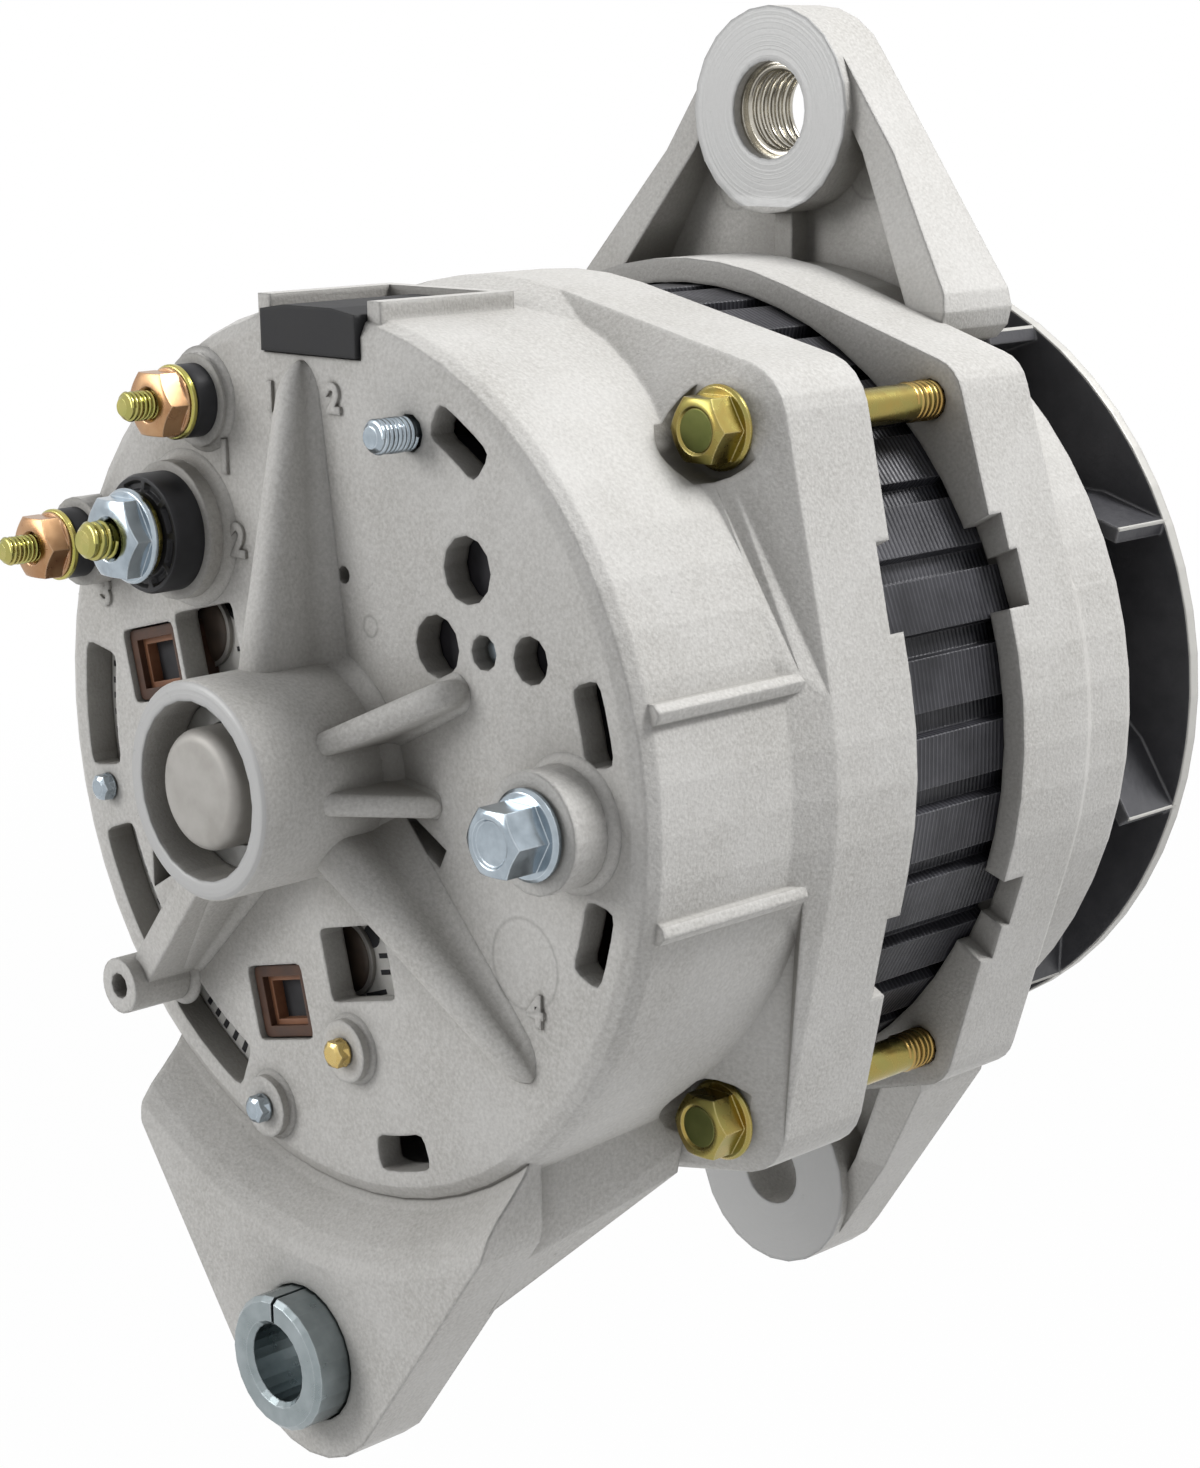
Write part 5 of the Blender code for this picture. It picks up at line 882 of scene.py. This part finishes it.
def add_insulators():
    """Round insulators with a shallow ribbed ring sunk in the face."""
    for node, (bore, radius) in INSULATOR_SHAPES.items():
        middle, top, base = middle_of(node)
        outer, slope, shelf, inner = (radius * share for share in INSULATOR_RING_SHARES)

        def floor(degrees, top=top):
            on_rib = (degrees * INSULATOR_RIBS / 360) % 1 < INSULATOR_RIB_SHARE
            return top + (0 if on_rib else INSULATOR_SINK)

        profile = ((bore, base), (radius, base), (radius, top + INSULATOR_EDGE),
                   (radius - INSULATOR_EDGE / 2, top), (outer, top), (slope, floor), (shelf, floor),
                   (inner, top), (bore, top))
        rings = rounds(middle, profile, INSULATOR_STEPS)
        mesh = closed_mesh(node + "_disc", rings, "black_plastic", looped=True)
        piece(node + "_disc", mesh, replaces=node)


def bolt_mesh(name, node, sizes, finish):
    """A flange bolt with chamfered corners and a shallow sunk disc in its head."""
    across, tall, flange, thick, shank, inset, deep = sizes
    middle, top, foot = middle_of(node)
    base = top + tall
    seat = base + thick
    edge = thick / FLANGE_PARTS
    rings = rounds(middle, ((inset / 2, top + deep), (inset - deep, top + deep), (inset, top)))
    rings += hexagon_rings(middle, across, base, top)[::-1]
    rings += rounds(middle, ((flange - edge, base), (flange, base + edge), (flange, seat - edge),
                             (flange - edge, seat), (shank, seat), (shank, foot)))
    return closed_mesh(name, rings, finish)


def add_bolts(tree):
    """The four through-bolts with their rolled threads and sunk discs, and the ground screw."""
    start, end = (REAR_FACE_STATION + station for station in BOLT_THREAD_SPAN)
    shank, inset, deep = THROUGH_BOLT[4:]
    discs = []
    for number in range(1, BOLT_COUNT + 1):
        node = f"through_bolt_{number}"
        name = f"flange_bolt_{number}"
        piece(name, bolt_mesh(name, node, THROUGH_BOLT, "yellow_zinc"), replaces=node)
        middle, top, _ = middle_of(node)
        crest = shank + BOLT_PITCH * THREAD_DEPTH_SHARE / 2
        name = f"bolt_thread_{number}"
        thread = thread_mesh(name, tree, middle, start, end, crest, BOLT_PITCH, "gold_thread")
        piece(name, thread)
        profile = ((BURIED, top + deep - INSET_LIFT), (inset - deep, top + deep - INSET_LIFT),
                   (inset - deep, top + deep + INSET_LIFT), (BURIED, top + deep + INSET_LIFT))
        discs.append(lathe(f"disc_{number}", middle, profile, "olive_zinc"))
    joined_piece("bolt_head_discs", discs)
    screw = bolt_mesh("flange_screw", "ground_screw", GROUND_SCREW, "white_zinc")
    piece("flange_screw", screw, replaces="ground_screw")


def wire_coil(name, tree, radius, wire, pitch, turns, finish, matrix):
    """A coil of round wire."""
    values = {"Radius": radius, "Pitch": pitch, "Depth": wire, "Turns": turns, "Sides": WIRE_SIDES,
              "Finish": FINISHES[finish]}
    coil = grown(name, tree, values, matrix)
    coil.polygons.foreach_set("use_smooth", [True] * len(coil.polygons))
    return coil


def add_ear_coil(tree):
    """The ear's wire coil insert in its thin sleeve, in place of the plain ring."""
    middle, front, back = middle_of("ear_insert")
    bore, outer = SLEEVE_RADII
    start = front + COIL_SETBACK
    back += COIL_PROUD
    profile = ((bore, start), (outer, start), (outer, back), (bore, back))
    sleeve = lathe("ear_sleeve", middle, profile, "coil_steel", looped=True)
    turns = (back - start - 2 * COIL_WIRE) / COIL_PITCH
    coil = wire_coil("ear_coil", tree, COIL_RADIUS, COIL_WIRE, COIL_PITCH, turns, "coil_steel",
                     along_shaft(Vector((middle.x, start + COIL_WIRE, middle.z))))
    joined_piece("ear_coil", [sleeve, coil], "ear_insert")


def add_springs(tree):
    """The brush springs, squeezed between their moving brush and the closed end of the holder."""
    for side in ("rear", "front"):
        name = "brush_spring_coil_" + side
        low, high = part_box("brush_spring_" + side)
        start = Vector(((low.x + high.x) / 2, (low.y + high.y) / 2, low.z))
        end = Vector((start.x, start.y, high.z))
        pitch = (end.z - start.z - 2 * SPRING_WIRE) / SPRING_TURNS
        coil = wire_coil(name, tree, SPRING_RADIUS, SPRING_WIRE, pitch, SPRING_TURNS, "dull_steel",
                         Matrix.Translation(start + Vector((0, 0, SPRING_WIRE))))
        item = piece(name, coil, None, "brush_spring_" + side)
        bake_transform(item)


def quarter_arc(radius, rounding, station):
    """Points of a quarter round from (radius, station) out to (radius + rounding, station + rounding)."""
    return [(radius + rounding * math.sin(turn), station + rounding * (1 - math.cos(turn)))
            for turn in QUARTER_TURNS]


def add_shaft_tail():
    """The shaft's smooth rounded end, seen in the rear hub's mouth."""
    middle, tip, _ = middle_of("rotor_shaft")
    tip -= TAIL_LIFT
    profile = [(TAIL_ROUND, tip)] + quarter_arc(TAIL_RADIUS - TAIL_ROUND, TAIL_ROUND, tip)
    profile.append((TAIL_RADIUS, tip + TAIL_LIFT + TAIL_LENGTH))
    piece("shaft_tail", lathe("shaft_tail", middle, profile, "dull_steel"), "rotor")


def add_fillets():
    """Fillets at the roots of the rear face's bosses, its cast webs and the borders of the drum's panels."""
    face = REAR_FACE_STATION
    meshes = []
    for (x, z), radius, root in BOSS_ROOTS:
        arc = [(radius + root * (1 - math.sin(turn)), face - root * (1 - math.cos(turn)))
               for turn in QUARTER_TURNS]
        profile = [(radius - BURIED, face + BURIED), (radius + root, face + BURIED)] + arc
        profile.append((radius - BURIED, face - root))
        meshes.append(lathe("root", at(x, 0, z), profile, "cast_aluminium", looped=True))
    joined_piece("boss_fillets", meshes)
    joined_piece("rounded_webs", [web_skin(*web) for web in WEBS])
    joined_piece("panel_borders", [panel_border(*angles) for angles in PANEL_ANGLES])


def panel_border(first, last):
    """The low step at the end of a ribbed panel, curved with the drum."""
    loops = []
    for step in range(PANEL_STEPS + 1):
        angle = math.radians(first + (last - first) * step / PANEL_STEPS)
        out = Vector((math.cos(angle), 0, math.sin(angle)))
        loops.append([at(0, station, 0) + out * (DRUM_RADIUS + rise) for rise, station in PANEL_PROFILE])
    return closed_mesh("casting", loops, "cast_aluminium", sharp=SMOOTH_LIMIT)


def web_skin(angle, reach, half_start, half_end, rise, end_rise, root_start, root_end):
    """A web of the rear face as it is cast: hollow roots, a round crest and a blunt rounded end."""
    along = Vector((math.cos(math.radians(angle)), 0, math.sin(math.radians(angle))))
    across = Vector((-along.z, 0, along.x))
    loops = []
    for share in WEB_SHARES:
        spot = at(0, 0, 0) + along * (WEB_START + (reach - WEB_START) * share)
        blunt = max(0, (share - WEB_BLUNT_SHARE) / (1 - WEB_BLUNT_SHARE))
        shrink = max(math.sqrt(1 - blunt * blunt), WEB_TIP_SHARE)
        tall = (rise + (end_rise - rise) * share) * shrink
        half = (half_start + (half_end - half_start) * share) * shrink
        root = min((root_start + (root_end - root_start) * share) * shrink, tall * WEB_ROOT_SHARE)
        crest = min(half * WEB_CREST_SHARE, tall * WEB_ROOT_SHARE)
        side = [(half + root * (1 - math.sin(turn)), root * (1 - math.cos(turn))) for turn in QUARTER_TURNS]
        side += [(half * math.cos(turn), tall - crest + crest * math.sin(turn)) for turn in QUARTER_TURNS]
        outline = [(half + root, -BURIED)] + side + [(-out, up) for out, up in side[-2::-1]]
        outline.append((-half - root, -BURIED))
        loops.append([spot + across * out + Vector((0, -up, 0)) for out, up in outline])
    return closed_mesh("casting", loops, "cast_aluminium", sharp=SMOOTH_LIMIT)


def slab(outline, rear, front):
    """The two outlines of a flat plate, from its (x, z) places and two stations from the rear face."""
    return [[at(x, station, z) for x, z in outline] for station in (rear, front)]


def turned_rectangle(spot, half_width, half_height, degrees):
    """The four corners of a turned rectangle on the face."""
    cos, sin = math.cos(math.radians(degrees)), math.sin(math.radians(degrees))
    corners = ((-1, -1), (1, -1), (1, 1), (-1, 1))
    return [(spot[0] + a * half_width * cos - b * half_height * sin,
             spot[1] + a * half_width * sin + b * half_height * cos) for a, b in corners]


def sector_outline(inner, outer, first, last):
    """The outline of a ring's sector on the face."""
    angles = [math.radians(first + (last - first) * step / LABEL_STEPS)
              for step in range(LABEL_STEPS + 1)]
    outline = [(outer * math.cos(angle), outer * math.sin(angle)) for angle in angles]
    return outline + [(inner * math.cos(angle), inner * math.sin(angle)) for angle in angles[::-1]]


def add_label():
    """The regulator's white label with plain black bars, its domed discs and a dot."""
    sheets = [slab(sector_outline(*sector), face, LABEL_FACE + LABEL_THICK)
              for sector, face in ((LABEL_SECTOR, LABEL_FACE), (RIM_SECTOR, RIM_FACE))]
    joined_piece("label", [closed_mesh("sheet", sheet, "label_paper") for sheet in sheets])
    marks = [(turned_rectangle(*bar), LABEL_FACE) for bar in BARS]
    radius, half_long, half_wide = RIM_BAR
    for angle in RIM_BAR_ANGLES:
        spot = (radius * math.cos(math.radians(angle)), radius * math.sin(math.radians(angle)))
        marks.append((turned_rectangle(spot, half_long, half_wide, angle), RIM_FACE))
    radius, half_wide, half_angle = RIM_SPINE
    for angle in RIM_SPINES:
        outline = sector_outline(radius - half_wide, radius + half_wide, angle - half_angle,
                                 angle + half_angle)
        marks.append((outline, RIM_FACE))
    meshes = [closed_mesh("bar", slab(outline, face - MARK_THICK, face), "label_ink")
              for outline, face in marks]
    front = REAR_FACE_STATION + LABEL_FACE
    for (x, z), radius in DOTS:
        profile = ((radius, front), (radius, front - MARK_THICK), (BURIED, front - MARK_THICK))
        meshes.append(lathe("dot", at(x, 0, z), profile, "label_ink"))
    joined_piece("label_marks", meshes)
    domes, rims = [], []
    for (x, z), radius in DISCS:
        outer, inner = (radius * share for share in DISC_RING_SHARES)
        crown = quarter_arc(0, inner, 0)[::-1]
        profile = [(inner, front)] + [(across, front - DISC_RISE + along * DISC_RISE / inner / 2)
                                      for across, along in crown[:-1]]
        domes.append(lathe("dome", at(x, 0, z), profile, "disc_brown"))
        profile = ((inner - BURIED, front), (outer, front), (outer, front - DISC_RISE / 2),
                   (inner - BURIED, front - DISC_RISE / 2))
        rims.append(lathe("rim", at(x, 0, z), profile, "dull_steel", looped=True))
    joined_piece("regulator_domes", domes)
    joined_piece("dome_rims", rims)


def add_sockets():
    """The pale inner frame of each of the regulator's sockets, and a black sheet in its mouth that paints
    the shade inside.
    """
    width, height = SOCKET_HALF
    frames, shade_sheets = [], []
    for spot in SOCKETS:
        outer = turned_rectangle(spot, width, height, SOCKET_TURN)
        inner = turned_rectangle(spot, width - SOCKET_FRAME, height - SOCKET_FRAME, SOCKET_TURN)
        section = ((outer, SOCKET_FRONT), (inner, SOCKET_FRONT),
                   (inner, SOCKET_MOUTH), (outer, SOCKET_MOUTH))
        loops = [[at(x, station, z) for x, z in outline] for outline, station in section]
        frames.append(closed_mesh("frame", loops, "tan_plastic", looped=True))
        # A black sheet across the mouth paints the shade inside the socket
        mouth = slab(outer, SOCKET_MOUTH, SOCKET_MOUTH + BURIED)
        shade_sheets.append(closed_mesh("mouth", mouth, "label_ink"))
    joined_piece("socket_frames", frames)
    joined_piece("socket_shade_sheets", shade_sheets)


def add_figures():
    """Plain raised figures cast on the rear face."""
    meshes = []
    for figure, (x, z), height in FIGURES:
        data = bpy.data.curves.new("figure", "FONT")
        data.body = figure
        data.size = height / FIGURE_CAP_SHARE
        data.extrude = FIGURE_RISE
        data.offset = FIGURE_BOLD
        data.align_x = "CENTER"
        data.align_y = "CENTER"
        data.resolution_u = FIGURE_CURVE_STEPS
        mesh = shape_of(new_object("figure", data))
        mesh.transform(Matrix.Translation(at(x, 0, z)) @ Matrix.Rotation(math.radians(90), 4, "X"))
        mesh.materials.clear()
        mesh.materials.append(FINISHES["cast_aluminium"])
        meshes.append(mesh)
    joined_piece("cast_figures", meshes)


def place_camera():
    """The camera at the photograph's angle, lens and framing."""
    flat = math.cos(CAMERA_ELEVATION)
    back = Vector((math.sin(CAMERA_AZIMUTH) * flat, -math.cos(CAMERA_AZIMUTH) * flat,
                   math.sin(CAMERA_ELEVATION)))
    right = (-back).cross(Vector((0, 0, 1))).normalized()
    up = right.cross(-back).normalized()
    rolled_right = right * math.cos(CAMERA_ROLL) + up * math.sin(CAMERA_ROLL)
    rolled_up = up * math.cos(CAMERA_ROLL) - right * math.sin(CAMERA_ROLL)
    target = SHAFT_ORIGIN + CAMERA_TARGET + right * CAMERA_ASIDE + up * CAMERA_RISE
    data = bpy.data.cameras.new("photo_camera")
    data.sensor_width = CAMERA_SENSOR
    data.sensor_fit = "HORIZONTAL"
    data.lens = CAMERA_LENS
    data.clip_start = CAMERA_NEAR
    data.clip_end = CAMERA_FAR
    camera = new_object("photo_camera", data)
    turned = Matrix((rolled_right, rolled_up, back)).transposed().to_4x4()
    camera.matrix_world = Matrix.Translation(target + back * CAMERA_DISTANCE) @ turned
    bpy.context.scene.camera = camera


def place_floor():
    """A plain pale floor under the part, which looks white to the camera and keeps a soft shadow."""
    mesh = bpy.data.meshes.new("floor")
    half = FLOOR_SIZE / 2
    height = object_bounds()[0].z - FLOOR_DROP
    corners = [(-half, -half, height), (half, -half, height), (half, half, height), (-half, half, height)]
    mesh.from_pydata(corners, [], [(0, 1, 2, 3)])
    floor = new_object("floor", mesh)
    material, tree, shader = new_material("floor", Roughness=FLOOR_ROUGHNESS, Base_Color=FLOOR_COLOUR)
    rays = tree.nodes.new("ShaderNodeLightPath")
    seen = calculate(tree, "MAXIMUM", rays.outputs["Is Camera Ray"], rays.outputs["Is Glossy Ray"])
    away = place(tree, "ShaderNodeVectorMath", {0: object_point(tree)}, operation="LENGTH").outputs["Value"]
    share = times(tree, seen, ranged(tree, away, *FLOOR_FADE, FLOOR_GLOW_SHARE, 1.0))
    glow = place(tree, "ShaderNodeEmission", {"Color": WHITE, "Strength": 1.0})
    mixed = place(tree, "ShaderNodeMixShader", {0: share, 1: shader.outputs[0], 2: glow.outputs[0]})
    tree.links.new(mixed.outputs[0], tree.nodes["Material Output"].inputs["Surface"])
    mesh.materials.append(material)


def place_light():
    """A white surround for camera and reflections, a dimmer sky for light, and soft lamps."""
    world = bpy.data.worlds.new("studio")
    bpy.context.scene.world = world
    world.use_nodes = True
    tree = world.node_tree
    tree.nodes.clear()
    rays = tree.nodes.new("ShaderNodeLightPath")
    outward = tree.nodes.new("ShaderNodeTexCoord").outputs["Generated"]
    upward = place(tree, "ShaderNodeSeparateXYZ", {0: outward}).outputs["Z"]
    level = ranged(tree, upward, *SKY_BAND, SKY_LOW, SKY_HIGH)
    dim = place(tree, "ShaderNodeBackground", {"Color": SKY_COLOUR, "Strength": level})
    white = place(tree, "ShaderNodeBackground", {"Color": WHITE, "Strength": 1.0})
    clear = calculate(tree, "MAXIMUM", rays.outputs["Is Glossy Ray"], rays.outputs["Is Transmission Ray"])
    seen = calculate(tree, "MAXIMUM", clear, rays.outputs["Is Camera Ray"])
    mixed = place(tree, "ShaderNodeMixShader", {0: seen, 1: dim.outputs[0], 2: white.outputs[0]})
    output = tree.nodes.new("ShaderNodeOutputWorld")
    tree.links.new(mixed.outputs[0], output.inputs["Surface"])
    for name, spot, aim, size, power in LAMPS:
        data = bpy.data.lights.new(name, "AREA")
        data.size = size
        data.energy = power
        lamp = new_object(name, data)
        lamp.location = spot
        lamp.rotation_euler = (Vector(aim) - Vector(spot)).to_track_quat("-Z", "Y").to_euler()
    bpy.context.scene.view_settings.view_transform = "Standard"


dress_nodes()
thread_tree = make_thread_tree()
add_studs(thread_tree)
add_nuts()
add_insulators()
add_bolts(thread_tree)
add_ear_coil(thread_tree)
add_springs(thread_tree)
add_shaft_tail()
add_fillets()
add_label()
add_sockets()
add_figures()
place_camera()
place_floor()
place_light()
